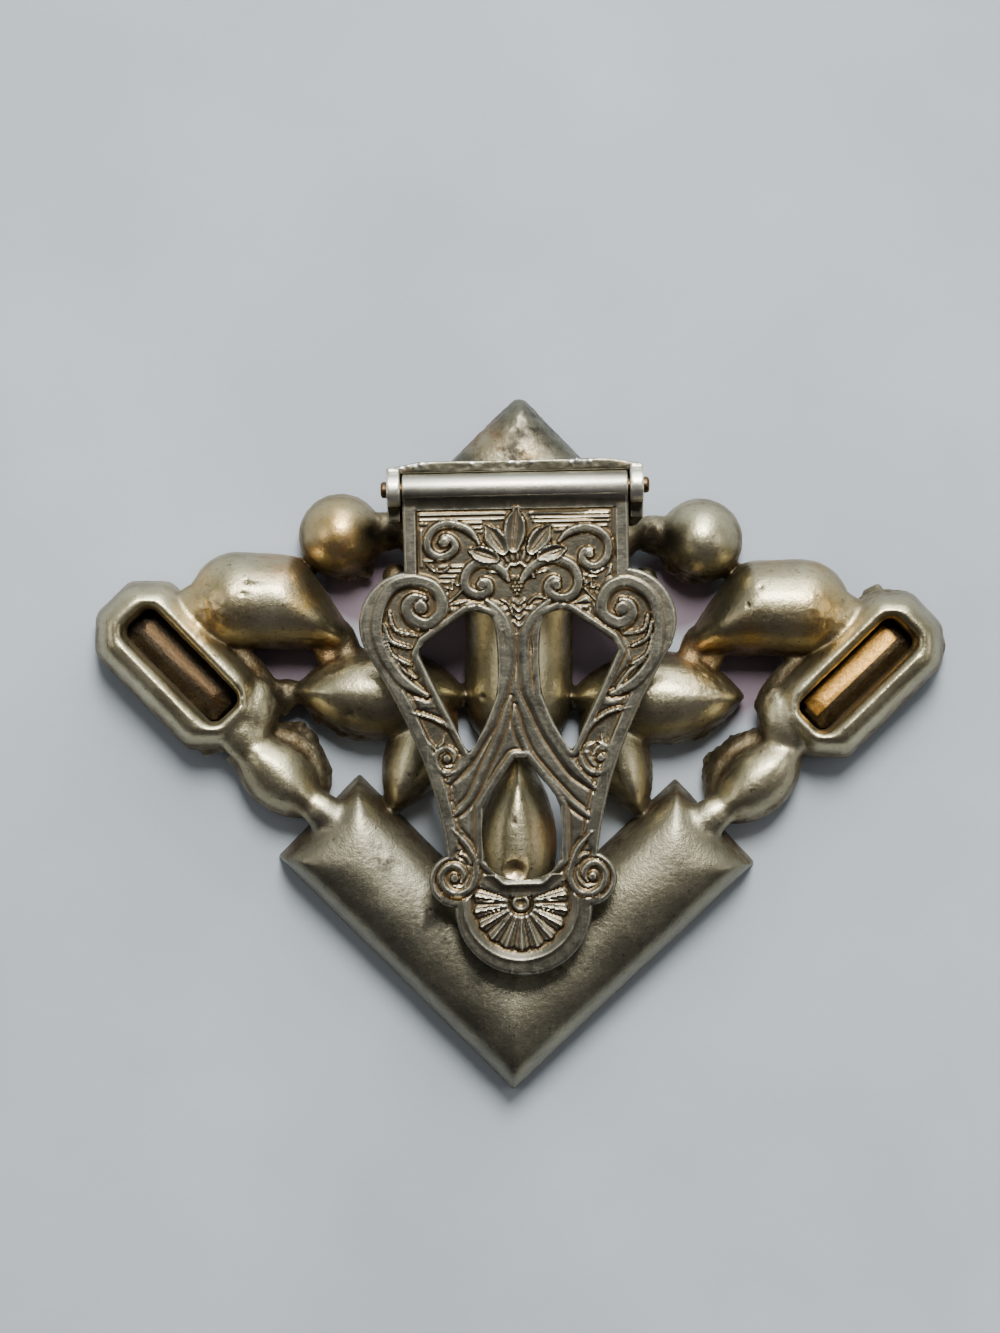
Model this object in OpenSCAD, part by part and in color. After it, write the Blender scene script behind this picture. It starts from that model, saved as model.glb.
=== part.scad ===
// A dress clip lying face down: a cast frame of domed stone cups, a hinge with
// its pin, a stamped clip lever, and the cut stones in the front of the cups.
// +Z is out of the clip's back, +Y is towards the hinge, z = 0 is the surface.

/* [Cups] */
// Height of the cups' front rims above the surface
rim_z = 0.9; // [0.8:0.1:1.1]
// Height where the cup walls end and the domes begin
shoulder_z = 3.8; // [3.6:0.1:4.0]
// How far the cup walls flare out from shoulder to rim
flare = 0.75; // [0.6:0.05:0.85]
// How far the dome centres lie below the shoulder
dome_sink = 0.35; // [0.3:0.05:0.5]
// Rim radius of the two round cups
round_r = 3.2; // [3.1:0.05:3.3]
// Rim radius of the two upper cups
upper_r = 3.7; // [3.6:0.05:3.75]
// Wall left between a cup's rim and its stone pocket
pocket_wall = 0.5; // [0.45:0.05:0.6]
// Height of the stone pockets' floors
pocket_z = 2.9; // [2.8:0.1:3.0]

/* [Baguettes] */
// Half length of a baguette cup at its rim
baguette_l = 7.2; // [7:0.1:7.4]
// Half width of a baguette cup at its rim
baguette_w = 4.0; // [3.9:0.05:4.1]
// Corner cut of a baguette cup
baguette_cut = 2.2; // [2:0.1:2.4]
// Height of the raised frame round a baguette's back window
baguette_z = 5.6; // [5.4:0.1:5.8]
// Half length of the back window
window_l = 5.1; // [4.9:0.1:5.3]
// Half width of the back window
window_w = 1.45; // [1.35:0.05:1.55]

/* [Square cup] */
// Half diagonal of the square top cup at its rim
square_d = 10.3; // [10.2:0.05:10.4]
// Height of the square cup's back
square_z = 5.5; // [5.4:0.1:5.6]

/* [Chevron] */
// Width of a chevron arm at its front face
arm_w = 8.85; // [8.7:0.05:9]
// Length of a chevron arm along its outer edge
arm_l = 25.2; // [25:0.1:25.4]
// Angle of an arm from the X axis
arm_angle = 44; // [43.5:0.5:44.5]
// Height where the arm's walls end and its dome begins
arm_shoulder_z = 4.2; // [4.1:0.1:4.3]
// How far the arm's walls lean in up to the shoulder
arm_flare = 1.1; // [1:0.1:1.2]
// Height of the arm's crest
arm_z = 6.1; // [6:0.1:6.2]

/* [Hinge] */
// Height of the hinge axis above the surface
hinge_z = 7.9; // [7.85:0.05:8]
// Angle at which the hinge is soldered on, seen from the back
hinge_lean = 1.95; // [1.8:0.05:2.1]
// Radius of the hinge pin
pin_r = 0.65; // [0.6:0.01:0.68]
// Radial running clearance round the pin
pin_gap = 0.05; // [0.03:0.01:0.08]
// Outer radius of the lever's rolled barrel
barrel_r = 1.12; // [1.1:0.01:1.15]
// Half length of the barrel, and half width of the lever's neck
barrel_l = 8.35; // [8.3:0.05:8.4]
// Inner face of each hinge ear
ear_x = 8.6; // [8.55:0.05:8.65]
// Outer face of each hinge ear
ear_outer_x = 9.5; // [9.4:0.05:9.6]
// Half length of the hinge pin
pin_l = 9.95; // [9.8:0.05:10]

/* [Lever] */
// Thickness of the lever's sheet
sheet_t = 0.8; // [0.7:0.05:0.85]
// Height of the stamped ornament above the sheet
relief_h = 0.28; // [0.2:0.02:0.3]
// Width of the stamped scroll lines
scroll_w = 0.42; // [0.35:0.01:0.45]
// Radius of the round lower end
lever_end_r = 5.08; // [5:0.02:5.1]
// Distance from the hinge to the centre of the lower end
lever_end_y = 31.0; // [30.8:0.1:31.2]

/* [Hidden] */
$fn = 64;

hinge_at = [-0.5, 19.1];
square_at = [0, 16.0];
round_at = [13.6, 15.55];
upper_at = [21.3, 10.55];
upper_cut_at = [15.3, 13.2];
upper_cut_angle = 29;
baguette_at = [25.7, 5.6];
baguette_angle = 45;
window_at = [25.3, 5.6];

// Navette cups: rim tip, other rim tip, half width at the rim
MIDDLE = [[17.1, 3.8], [3.7, 3.6], 3.5];
SIDE = [[21.3, 0.5], [14.7, -5.5], 2.75];
LOWER = [[5.3, 4.4], [9.5, -5.4], 2.5];
CENTRE = [[0, -0.5], [0, -14.8], 3.05];
// The lower cup's seat is shorter, so that its stone clears the middle one
LOWER_SEAT = [[6.3, 1.9], [9.5, -5.4], 2.3];

// Straight-sided cup with one pointed end, on the centre line
bar_w = 4.05;
bar_top_y = 12;
bar_straight_y = 3.7;
bar_tip_y = -1.2;
bar_stone_top_y = 5.0;

// Cast webs that tie neighbouring cups together: start, end, radius
WEBS = [[[9.3, 16.0], [11.6, 15.7], 1.0],
        [[13.4, 8.4], [12.7, 5.4], 0.9],
        [[20.3, 3.6], [16.2, 3.8], 1.1]];
web_z = 2.4;
dome_cut_z = 2;

// Stone heights: table, lower and upper girdle, keel
table_z = 0;
girdle_z = 0.95;
girdle_top_z = 1.15;
keel_z = 2.6;
stone_gap = 0.1;
table_inset = 0.38;
keel_w = 0.15;

bracket_z = [5.2, 6.2];
bracket_y = [-2.4, 1.9];
flange_y = 1.35;
flange_z = 8.5;
ear_r = barrel_r + 0.2;
ear_foot = 1.7;
bore_r = pin_r + pin_gap;
top_z = sheet_t / 2;
chevron_tip_y = -26.28;

// Pocket walls lean in by this much more than the cups' outer walls
pocket_lean = 0.2;
pocket_inset = pocket_wall + flare + pocket_lean;
square_pocket_lean = 2.2;
baguette_crest = 1.6;
upper_reach = 12;
stone_edge = pocket_wall + stone_gap + 0.1;
crown_w = 1.3;
eps = 0.02;
// Larger than the clip, for cutting solids
far = 60;

function mid(a, b) = (a + b) / 2;
function span(a, b) = norm(b - a);
function heading(a, b) = atan2(b[1] - a[1], b[0] - a[0]);
// A lens is where two circles of radius lens_r, a distance lens_d off axis, overlap
function lens_r(l, w) = (l * l + w * w) / (2 * w);
function lens_d(l, w) = lens_r(l, w) - w;
function bezier(a, b, c, d, n) =
    [for (i = [0:n]) let (t = i / n, s = 1 - t)
        s * s * s * a + 3 * s * s * t * b + 3 * s * t * t * c + t * t * t * d];
function mirrored(points) =
    concat(points, [for (i = [len(points) - 1:-1:0]) [-points[i][0], points[i][1]]]);

// Outlines of the stones at a given inset from the cup's rim, in the cup's own axes
function ring(r, n) = [for (i = [0:n - 1]) r * [cos(360 * i / n), sin(360 * i / n)]];
function lens(l, w, inset, n) =
    let (d = lens_d(l, w), r = lens_r(l, w) - inset, a = acos(d / r))
    concat([for (i = [0:n - 1]) [0, -d] + r * [sin(a - 2 * a * i / n), cos(a - 2 * a * i / n)]],
           [for (i = [0:n - 1]) [0, d] - r * [sin(a - 2 * a * i / n), cos(a - 2 * a * i / n)]]);
function octagon(l, w, cut, inset) =
    let (x = l - inset, y = w - inset, c = min(cut - inset * 0.59, y * 0.9))
    [[x, y - c], [x - c, y], [c - x, y], [-x, y - c], [-x, c - y], [c - x, -y], [x - c, -y], [x, c - y]];

// Outline of the bar cup: a point below, straight sides above, flat at the given top
function bar_ring(inset, top, n) =
    let (l = bar_straight_y - bar_tip_y, d = lens_d(l, bar_w), r = lens_r(l, bar_w) - inset,
         a = acos(d / r), w = bar_w - inset)
    concat([[-w, top]],
           [for (i = [0:n]) [d - r * cos(a * i / n), bar_straight_y - r * sin(a * i / n)]],
           [for (i = [n - 1:-1:0]) [r * cos(a * i / n) - d, bar_straight_y - r * sin(a * i / n)]],
           [[w, top]]);

// Joins rings of equal length, from the lowest up, into one closed solid
module loft(rings) {
    n = len(rings[0]);
    m = len(rings);
    polyhedron(
        points = [for (r = rings) each r],
        faces = concat(
            [[for (i = [0:n - 1]) i]],
            [for (k = [0:m - 2], i = [0:n - 1])
                [k * n + i, (k + 1) * n + i, k * n + (i + 1) % n]],
            [for (k = [0:m - 2], i = [0:n - 1])
                [k * n + (i + 1) % n, (k + 1) * n + i, (k + 1) * n + (i + 1) % n]],
            [[for (i = [n - 1:-1:0]) (m - 1) * n + i]]));
}

function at_z(points, z) = [for (p = points) [p[0], p[1], z]];

module both_sides() {
    children();
    mirror([1, 0, 0]) children();
}

module along(a, b) {
    translate([mid(a, b)[0], mid(a, b)[1], 0]) rotate([0, 0, heading(a, b)]) children();
}

// A lens-shaped block whose walls lean: inset from the rim lens at the bottom and top
module lens_block(l, w, z0, z1, inset0, inset1) {
    r = lens_r(l, w);
    intersection_for (side = [-1, 1])
        translate([0, side * lens_d(l, w), z0])
            cylinder(h = z1 - z0, r1 = r - inset0, r2 = r - inset1);
}

// Keeps what lies above the pockets' mouths, so that a round dome closes the cup's back only
module upper_half() {
    intersection() {
        children();
        translate([-far, -far, dome_cut_z]) cube([2 * far, 2 * far, far]);
    }
}

// A spindle along X, cut from the circle that draws one side of the lens
module lens_dome(l, w, z) {
    r = lens_r(l, w) - flare;
    upper_half() translate([0, 0, z]) rotate([0, 90, 0]) rotate_extrude()
        intersection() {
            translate([-lens_d(l, w), 0]) circle(r);
            translate([0, -l]) square([w, 2 * l]);
        }
}

module navette_cup(cup) {
    l = span(cup[0], cup[1]) / 2;
    w = cup[2];
    along(cup[0], cup[1]) {
        lens_block(l, w, rim_z, shoulder_z, 0, flare);
        lens_dome(l, w, shoulder_z - dome_sink);
    }
}

module navette_pocket(cup) {
    l = span(cup[0], cup[1]) / 2;
    along(cup[0], cup[1])
        lens_block(l, cup[2], rim_z - eps, pocket_z, pocket_wall, pocket_inset);
}

module round_cup() {
    translate([round_at[0], round_at[1], rim_z])
        cylinder(h = shoulder_z - rim_z, r1 = round_r, r2 = round_r - flare);
    upper_half() translate([round_at[0], round_at[1], shoulder_z - dome_sink]) sphere(round_r - flare);
}

// Half space on the outer side of the upper cup's slanted inner end
module upper_side(inset) {
    translate([upper_cut_at[0], upper_cut_at[1], 0]) rotate([0, 0, -upper_cut_angle])
        translate([inset, -far / 2, -1]) cube(far);
}

module upper_block(z0, z1, r0, r1) {
    h = z1 - z0;
    translate([upper_at[0], upper_at[1], z0]) {
        cylinder(h = h, r1 = r0, r2 = r1);
        rotate([90, 0, -90]) linear_extrude(upper_reach)
            polygon([[-r0, 0], [r0, 0], [r1, h], [-r1, h]]);
    }
}

module upper_cup() {
    r = upper_r - flare;
    intersection() {
        union() {
            upper_block(rim_z, shoulder_z, upper_r, r);
            upper_half() translate([upper_at[0], upper_at[1], shoulder_z - dome_sink]) {
                sphere(r - eps);
                rotate([0, -90, 0]) cylinder(h = upper_reach, r = r);
            }
        }
        upper_side(0);
    }
}

module upper_pocket() {
    r = upper_r - pocket_wall;
    intersection() {
        upper_block(rim_z - eps, pocket_z, r, r - flare - pocket_lean);
        upper_side(pocket_wall + 0.3);
    }
}

function baguette_ring(inset) = octagon(baguette_l, baguette_w, baguette_cut, inset);

module at_baguette(at) {
    translate([at[0], at[1], 0]) rotate([0, 0, baguette_angle]) children();
}

module baguette_cup() {
    at_baguette(baguette_at)
        loft([at_z(baguette_ring(0), rim_z),
              at_z(baguette_ring(flare), shoulder_z),
              at_z(baguette_ring(baguette_crest), baguette_z)]);
}

// The stone's pocket, and the window through the cup's back
module baguette_pocket() {
    at_baguette(baguette_at)
        loft([at_z(baguette_ring(pocket_wall), rim_z - eps),
              at_z(baguette_ring(pocket_inset + 0.1), pocket_z)]);
    at_baguette(window_at)
        loft([at_z(octagon(window_l - 0.1, window_w - 0.1, 0.6, 0), pocket_z - 0.3),
              at_z(octagon(window_l, window_w, 0.7, 0), baguette_z - 0.5),
              at_z(octagon(window_l + 0.35, window_w + 0.35, 0.8, 0), baguette_z + eps)]);
}

module square_prism(d0, d1, z0, z1) {
    translate([square_at[0], square_at[1], z0])
        linear_extrude(height = z1 - z0, scale = d1 / d0)
            polygon([[d0, 0], [0, d0], [-d0, 0], [0, -d0]]);
}

module square_cup() {
    square_prism(square_d, square_d - flare * sqrt(2), rim_z, shoulder_z);
    square_prism(square_d - flare * sqrt(2), square_d / 2, shoulder_z - eps, square_z);
}

module bar_cup() {
    l = bar_straight_y - bar_tip_y;
    z = shoulder_z - 3 * dome_sink;
    loft([at_z(bar_ring(0, bar_top_y, 14), rim_z),
          at_z(bar_ring(flare, bar_top_y, 14), shoulder_z)]);
    intersection() {
        translate([0, bar_straight_y, 0]) rotate([0, 0, 90]) lens_dome(l, bar_w, z);
        translate([-far / 2, bar_tip_y, 0]) cube([far, l, far]);
    }
    upper_half() translate([0, bar_straight_y, z]) rotate([-90, 0, 0])
        cylinder(h = bar_top_y - bar_straight_y, r = bar_w - flare);
}

module bar_pocket() {
    loft([at_z(bar_ring(pocket_wall, bar_stone_top_y, 14), rim_z - eps),
          at_z(bar_ring(pocket_inset, bar_stone_top_y, 14), pocket_z)]);
}

// Cross-section of a chevron arm: x across the arm from its outer edge, y up
module arm_section() {
    half = arm_w / 2;
    rise = arm_z - arm_shoulder_z;
    reach = half - arm_flare - 0.1;
    r = (reach * reach + rise * rise) / (2 * rise);
    polygon([[0, 0], [arm_w, 0], [arm_w - arm_flare, arm_shoulder_z], [arm_flare, arm_shoulder_z]]);
    intersection() {
        translate([half, arm_z - r]) circle(r);
        translate([half - reach, arm_shoulder_z - 0.2]) square([2 * reach, arm_z]);
    }
}

module chevron_arm() {
    lean = atan(arm_flare / arm_shoulder_z);
    intersection() {
        translate([0, chevron_tip_y, 0]) rotate([0, 0, arm_angle])
            intersection() {
                translate([-arm_w, 0, 0]) rotate([90, 0, 90]) linear_extrude(arm_l + 2 * arm_w)
                    arm_section();
                translate([arm_l, 0, 0]) rotate([0, -lean, 0]) translate([-far, -far / 2, -far / 2])
                    cube(far);
            }
        translate([-eps, -far / 2, -1]) cube(far);
    }
}

module web(a, b, r) {
    translate([a[0], a[1], web_z]) rotate([0, 0, heading(a, b)]) rotate([0, 90, 0])
        cylinder(h = span(a, b), r = r);
}

module at_hinge() {
    translate([hinge_at[0], hinge_at[1], hinge_z]) rotate([0, 0, hinge_lean]) children();
}

module on_x(x0, x1, r) {
    translate([x0, 0, 0]) rotate([0, 90, 0]) cylinder(h = x1 - x0, r = r);
}

module bracket() {
    low = bracket_z[0] - hinge_z;
    depth = bracket_y[1] - bracket_y[0];
    translate([-ear_outer_x, bracket_y[0], low])
        cube([2 * ear_outer_x, depth, bracket_z[1] - bracket_z[0]]);
    translate([-ear_outer_x, flange_y, low])
        cube([2 * ear_outer_x, bracket_y[1] - flange_y, flange_z - bracket_z[0]]);
    for (side = [0, 1]) mirror([side, 0, 0]) {
        on_x(ear_x, ear_outer_x, ear_r);
        translate([ear_x, -barrel_r, low])
            cube([ear_outer_x - ear_x, barrel_r + bracket_y[1], -low]);
        translate([ear_x, bracket_y[0], low])
            cube([ear_outer_x - ear_x, depth, ear_foot]);
    }
}

module cast_frame() {
    color("#b0a888") difference() {
        union() {
            square_cup();
            bar_cup();
            navette_cup(CENTRE);
            both_sides() {
                round_cup();
                upper_cup();
                baguette_cup();
                navette_cup(MIDDLE);
                navette_cup(SIDE);
                navette_cup(LOWER);
                chevron_arm();
                for (w = WEBS) web(w[0], w[1], w[2]);
            }
            at_hinge() bracket();
        }
        square_prism(square_d - pocket_wall * sqrt(2), square_d - square_pocket_lean,
                     rim_z - eps, pocket_z);
        bar_pocket();
        navette_pocket(CENTRE);
        both_sides() {
            translate([round_at[0], round_at[1], rim_z - eps])
                cylinder(h = pocket_z - rim_z, r1 = round_r - pocket_wall,
                         r2 = round_r - pocket_inset);
            upper_pocket();
            baguette_pocket();
            navette_pocket(MIDDLE);
            navette_pocket(SIDE);
            navette_pocket(LOWER_SEAT);
        }
        at_hinge() on_x(-far / 2, far / 2, bore_r);
    }
}

module hinge_pin() {
    color("#8f8672") at_hinge() on_x(-pin_l, pin_l, pin_r);
}

// Half of the lever's flank, from the shoulder curve down to the lower lobes
flank = bezier([11.45, -11.7], [8.0, -17.3], [6.0, -22.3], [5.5, -27.8], 12);
shoulder_at = [7.8, -10.0];
shoulder_r = 3.95;
lobe_at = [4.95, -29.0];
lobe_r = 2.0;

module neck_shape() {
    translate([-barrel_l, shoulder_at[1]]) square([2 * barrel_l, -shoulder_at[1] - barrel_r / 2]);
}

module shoulder_shape(side) {
    translate([side * shoulder_at[0], shoulder_at[1]]) circle(shoulder_r);
}

module flank_shape() {
    polygon(mirrored(concat([[8.0, -8.0]], flank, [[4.0, -30.0]])));
}

module lobe_shape(side) {
    translate([side * lobe_at[0], lobe_at[1]]) circle(lobe_r);
}

module end_shape() {
    translate([0, -lever_end_y]) circle(lever_end_r);
}

module lever_outline() {
    neck_shape();
    flank_shape();
    end_shape();
    for (side = [-1, 1]) {
        shoulder_shape(side);
        lobe_shape(side);
    }
}

module lever_sheet() {
    difference() {
        union() {
            linear_extrude(sheet_t) neck_shape();
            linear_extrude(sheet_t) flank_shape();
            linear_extrude(sheet_t) end_shape();
            for (side = [-1, 1]) {
                linear_extrude(sheet_t) shoulder_shape(side);
                linear_extrude(sheet_t) lobe_shape(side);
            }
        }
        translate([0, 0, -sheet_t]) linear_extrude(3 * sheet_t) lever_windows();
    }
}

module lever_windows() {
    for (side = [0, 1]) mirror([side, 0])
        polygon([[7.3, -12.2], [6.9, -11.4], [3.8, -9.25], [2.95, -9.15], [1.95, -9.6],
                 [1.65, -10.8], [1.55, -12.9], [1.7, -15.25], [2.6, -17.5], [3.8, -19.45],
                 [4.9, -17.25], [6.2, -14.6]]);
    polygon(mirrored([[0.4, -20.1], [1.3, -21.3], [2.8, -23.6], [2.8, -27.5], [1.25, -28.9]]));
}

// Outline of a band of width w along a line of points
function band(points, w) =
    let (n = len(points),
         side = [for (i = [0:n - 1])
             let (d = points[min(i + 1, n - 1)] - points[max(i - 1, 0)])
             w / 2 * [-d[1], d[0]] / norm(d)])
    concat([for (i = [0:n - 1]) points[i] + side[i]],
           [for (i = [n - 1:-1:0]) points[i] - side[i]]);

function spiral(r0, r1, a0, a1, n) =
    [for (i = [0:n]) let (t = i / n, r = r0 + (r1 - r0) * t, a = a0 + (a1 - a0) * t)
        r * [cos(a), sin(a)]];

// Volutes of the right half: centre, outer radius, eye radius, start angle, turn
VOLUTES = [[[5.35, -4.45], 1.25, 0.45, 150, -330],
           [[2.73, -7.10], 1.35, 0.50, 200, -330],
           [[7.55, -8.80], 1.85, 0.72, 60, 330],
           [[5.70, -19.85], 0.95, 0.35, 120, -330],
           [[4.95, -28.90], 1.35, 0.55, 100, -330]];

module volute(v) {
    translate([v[0][0], v[0][1], 0]) {
        polygon(band(spiral(v[1], v[2], v[3], v[3] + v[4], 16), scroll_w));
        circle(v[2]);
    }
}

// A leaf from the origin along +Y
module leaf(l, w) {
    polygon(mirrored([[w * 0.25, 0], [w * 0.5, l * 0.55], [w * 0.35, l * 0.85], [0.03, l]]));
}

shell_y = -30.7;
shell_r = 3.45;
palmette_y = -5.4;
// Petals of the palmette: angle from +Y, length
PETALS = [[0, 3.2], [38, 2.9], [-38, 2.9], [68, 2.3], [-68, 2.3]];
// Lyre ribs of the right half: four control points of each curve
RIBS = [[[1.9, -8.6], [0.6, -12.5], [0.9, -18.5], [5.2, -21.5]],
        [[0.1, -14.6], [0.6, -17.5], [1.6, -21.2], [5.0, -24.3]]];
// Feather leaves down the shoulders: start, angle from +Y, length
FEATHERS = [[[10.2, -10.3], 164, 2.6], [[9.5, -11.2], 166, 2.9], [[8.8, -12.0], 168, 3.1]];

module relief_shapes() {
    for (side = [0, 1]) mirror([side, 0]) {
        for (v = VOLUTES) volute(v);
        for (r = RIBS) polygon(band(bezier(r[0], r[1], r[2], r[3], 10), scroll_w));
        for (f = FEATHERS) translate(f[0]) rotate(f[1]) leaf(f[2], 0.7);
        translate([6.5, -19.2]) rotate(-32) leaf(3.4, 0.9);
    }
    for (p = PETALS) translate([0, palmette_y]) rotate(-p[0]) translate([0, 0.5]) leaf(p[1] - 0.5, 1.1);
    for (i = [0:8]) translate([0, shell_y]) rotate(180 + (i - 4) * 20) translate([0, 1.0])
        polygon(mirrored([[0.1, 0], [0.5, shell_r - 1.5], [0.35, shell_r - 1.1], [0.02, shell_r - 1.0]]));
    translate([0, shell_y]) circle(0.8);
}

module lever_border() {
    difference() {
        offset(delta = -0.2) lever_outline();
        offset(delta = -0.75) lever_outline();
        translate([-7, -28.5]) square([14, 20]);
        translate([-9, -2]) square([18, 4]);
    }
}

module clip_lever() {
    color("#9c9482") at_hinge() difference() {
        union() {
            on_x(-barrel_l, barrel_l, barrel_r);
            translate([0, 0, -top_z]) lever_sheet();
            translate([0, 0, top_z - 0.1]) linear_extrude(relief_h + 0.1) relief_shapes();
            translate([0, 0, top_z - 0.1]) linear_extrude(relief_h) lever_border();
        }
        on_x(-far / 2, far / 2, bore_r);
    }
}

// A cut stone: table, crown, girdle and a keel, from outlines at four insets
module cut_stone(rings) {
    loft([at_z(rings[0], table_z), at_z(rings[1], girdle_z),
          at_z(rings[1], girdle_top_z), at_z(rings[2], keel_z)]);
}

module navette_stone(cup) {
    l = span(cup[0], cup[1]) / 2;
    w = cup[2];
    along(cup[0], cup[1])
        cut_stone([lens(l, w, stone_edge + w * table_inset, 7),
                   lens(l, w, stone_edge, 7),
                   lens(l, w, w - keel_w, 7)]);
}

module round_stone() {
    r = round_r - stone_edge;
    translate([round_at[0], round_at[1], 0])
        cut_stone([ring(r - crown_w, 12), ring(r, 12), ring(keel_w, 12)]);
}

// Outline of the upper stone: a round outer end and a slanted inner end
function upper_ring(inset) =
    let (r = upper_r - inset, t = tan(upper_cut_angle),
         x = upper_cut_at[0] - upper_at[0] + (inset + 0.3) / cos(upper_cut_angle),
         y = upper_cut_at[1] - upper_at[1])
    concat([for (i = [0:8]) r * [cos(-90 + 180 * i / 8), sin(-90 + 180 * i / 8)]],
           [[x + (r - y) * t, r], [x + (-r - y) * t, -r]]);

module upper_stone() {
    translate([upper_at[0], upper_at[1], 0])
        cut_stone([upper_ring(stone_edge + crown_w),
                   upper_ring(stone_edge),
                   upper_ring(upper_r - keel_w)]);
}

module baguette_stone() {
    at_baguette(baguette_at)
        cut_stone([baguette_ring(stone_edge + crown_w),
                   baguette_ring(stone_edge),
                   baguette_ring(baguette_w - 2 * keel_w)]);
}

module square_stone() {
    d = square_d - stone_edge * sqrt(2);
    translate([square_at[0], square_at[1], 0]) rotate([0, 0, 45])
        cut_stone([for (k = [0.6, 1, 0.06]) octagon(d * k / sqrt(2), d * k / sqrt(2), 0.9 * k, 0)]);
}

// The stone's flat top end leans back less than its sides
module bar_stone() {
    cut_stone([for (inset = [stone_edge + crown_w, stone_edge, 2.6])
        bar_ring(inset, bar_stone_top_y - inset * 0.45, 6)]);
}

clear = "#d9dbe8";
violet = "#b48cb4";
champagne = "#c8965a";

cast_frame();
hinge_pin();
clip_lever();
color(violet) square_stone();
color(clear) bar_stone();
color(clear) navette_stone(CENTRE);  // centre_stone
for (side = ["left", "right"]) mirror([side == "left" ? 1 : 0, 0, 0]) {
    color(clear) round_stone();
    color(violet) upper_stone();
    color(champagne) baguette_stone();
    color(violet) navette_stone(MIDDLE);
    color(clear) navette_stone(SIDE);
    color(clear) navette_stone(LOWER_SEAT);
}
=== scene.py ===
# %% [markdown]
# # A dress clip, seen from its back
#
# The real thing is a costume dress clip of about 1930. Its body is one casting of soft
# pot metal with a worn gold wash: fifteen hollow cups, whose backs are round domes, and a
# chevron bar. Glass stones sit in the cups on the hidden front. A stamped clip lever
# swings on a pin in a bracket that is soldered to the top cup. Here it lies face down, as
# in the photograph, so nearly all that we look at is metal.
#
# Its nodes stay where they are. New pieces are made round them, in the same frame, and
# ride on the same two bodies.

# %% Load the frame
import math

import bpy
import numpy as np
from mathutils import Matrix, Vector, noise


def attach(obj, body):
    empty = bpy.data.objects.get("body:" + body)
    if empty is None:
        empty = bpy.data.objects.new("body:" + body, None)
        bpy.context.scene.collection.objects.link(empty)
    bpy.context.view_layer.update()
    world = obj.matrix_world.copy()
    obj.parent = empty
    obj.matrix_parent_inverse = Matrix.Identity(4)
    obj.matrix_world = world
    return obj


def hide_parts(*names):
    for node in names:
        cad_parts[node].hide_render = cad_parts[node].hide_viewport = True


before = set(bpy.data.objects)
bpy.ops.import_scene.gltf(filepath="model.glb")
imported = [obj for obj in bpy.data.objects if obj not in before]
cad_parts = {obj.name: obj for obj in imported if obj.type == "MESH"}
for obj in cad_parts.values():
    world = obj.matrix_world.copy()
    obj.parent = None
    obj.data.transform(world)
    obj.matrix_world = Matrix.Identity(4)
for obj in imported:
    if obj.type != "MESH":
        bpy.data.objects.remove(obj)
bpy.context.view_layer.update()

# %% [markdown]
# ## The camera
#
# The photograph was taken from straight above, close by, so the cups at the edges show a
# little of their outer walls. A camera 304 mm up with a long lens gives the same view. The
# clip lies three quarters of a degree off square, and the camera is turned to match.

# %% Camera
MM = 0.001
CAMERA_AT, CAMERA_TURN = (-1.43, 5.83, 304), 0.75
CLIP_AWAY, PIXEL, PHOTO_ROWS = 300, 0.075, 1333  # mm to the clip, mm for a pixel, pixels
SENSOR = 36
camera = bpy.data.objects.new("camera", bpy.data.cameras.new("camera"))
bpy.context.scene.collection.objects.link(camera)
camera.location = [v * MM for v in CAMERA_AT]
camera.rotation_euler = (0, 0, math.radians(CAMERA_TURN))
camera.data.sensor_fit = "VERTICAL"
camera.data.sensor_height = SENSOR
camera.data.lens = SENSOR * CLIP_AWAY / (PIXEL * PHOTO_ROWS)
camera.data.clip_start = 0.01
bpy.context.scene.camera = camera
print("lens", round(camera.data.lens, 1), "mm")

# %% [markdown]
# ## Small helpers
#
# Everything is modelled in millimetres, because a millimetre is a comfortable size for
# this jewel, and each finished piece is scaled to metres at the very end. An operator
# works on what is selected, so each step starts by clearing the selection.

# %% Selecting, applying and finishing
def only(*objects):
    if bpy.context.object and bpy.context.object.mode != "OBJECT":
        bpy.ops.object.mode_set(mode="OBJECT")
    bpy.ops.object.select_all(action="DESELECT")
    for obj in objects:
        obj.select_set(True)
        bpy.context.view_layer.objects.active = obj


def apply_modifier(obj, kind, **settings):
    only(obj)
    modifier = obj.modifiers.new(kind.lower(), kind)
    for key, value in settings.items():
        setattr(modifier, key, value)
    bpy.ops.object.modifier_apply(modifier=modifier.name)


def place(obj, at=(0, 0, 0), turn=0):
    """Turns a piece about its own origin, moves it, and applies both to its mesh."""
    only(obj)
    obj.rotation_euler = (0, 0, math.radians(turn))
    obj.location = at
    bpy.ops.object.transform_apply(location=True, rotation=True, scale=True)
    return obj


def join(name, pieces):
    only(*pieces)
    bpy.ops.object.join()
    piece = bpy.context.object
    piece.name = piece.data.name = name
    return piece


def outward(obj):
    """Merges doubles and turns all faces outwards."""
    only(obj)
    bpy.ops.object.mode_set(mode="EDIT")
    bpy.ops.mesh.select_all(action="SELECT")
    bpy.ops.mesh.remove_doubles(threshold=0.0005)
    bpy.ops.mesh.normals_make_consistent(inside=False)
    bpy.ops.object.mode_set(mode="OBJECT")


def carve(obj, cutter, operation="DIFFERENCE"):
    apply_modifier(obj, "BOOLEAN", object=cutter, operation=operation, solver="MANIFOLD")
    bpy.data.objects.remove(cutter)


# %% Points, directions and soft steps
def places_of(obj):
    co = np.empty(len(obj.data.vertices) * 3, np.float32)
    obj.data.vertices.foreach_get("co", co)
    return co.reshape(-1, 3).astype(float)


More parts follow.
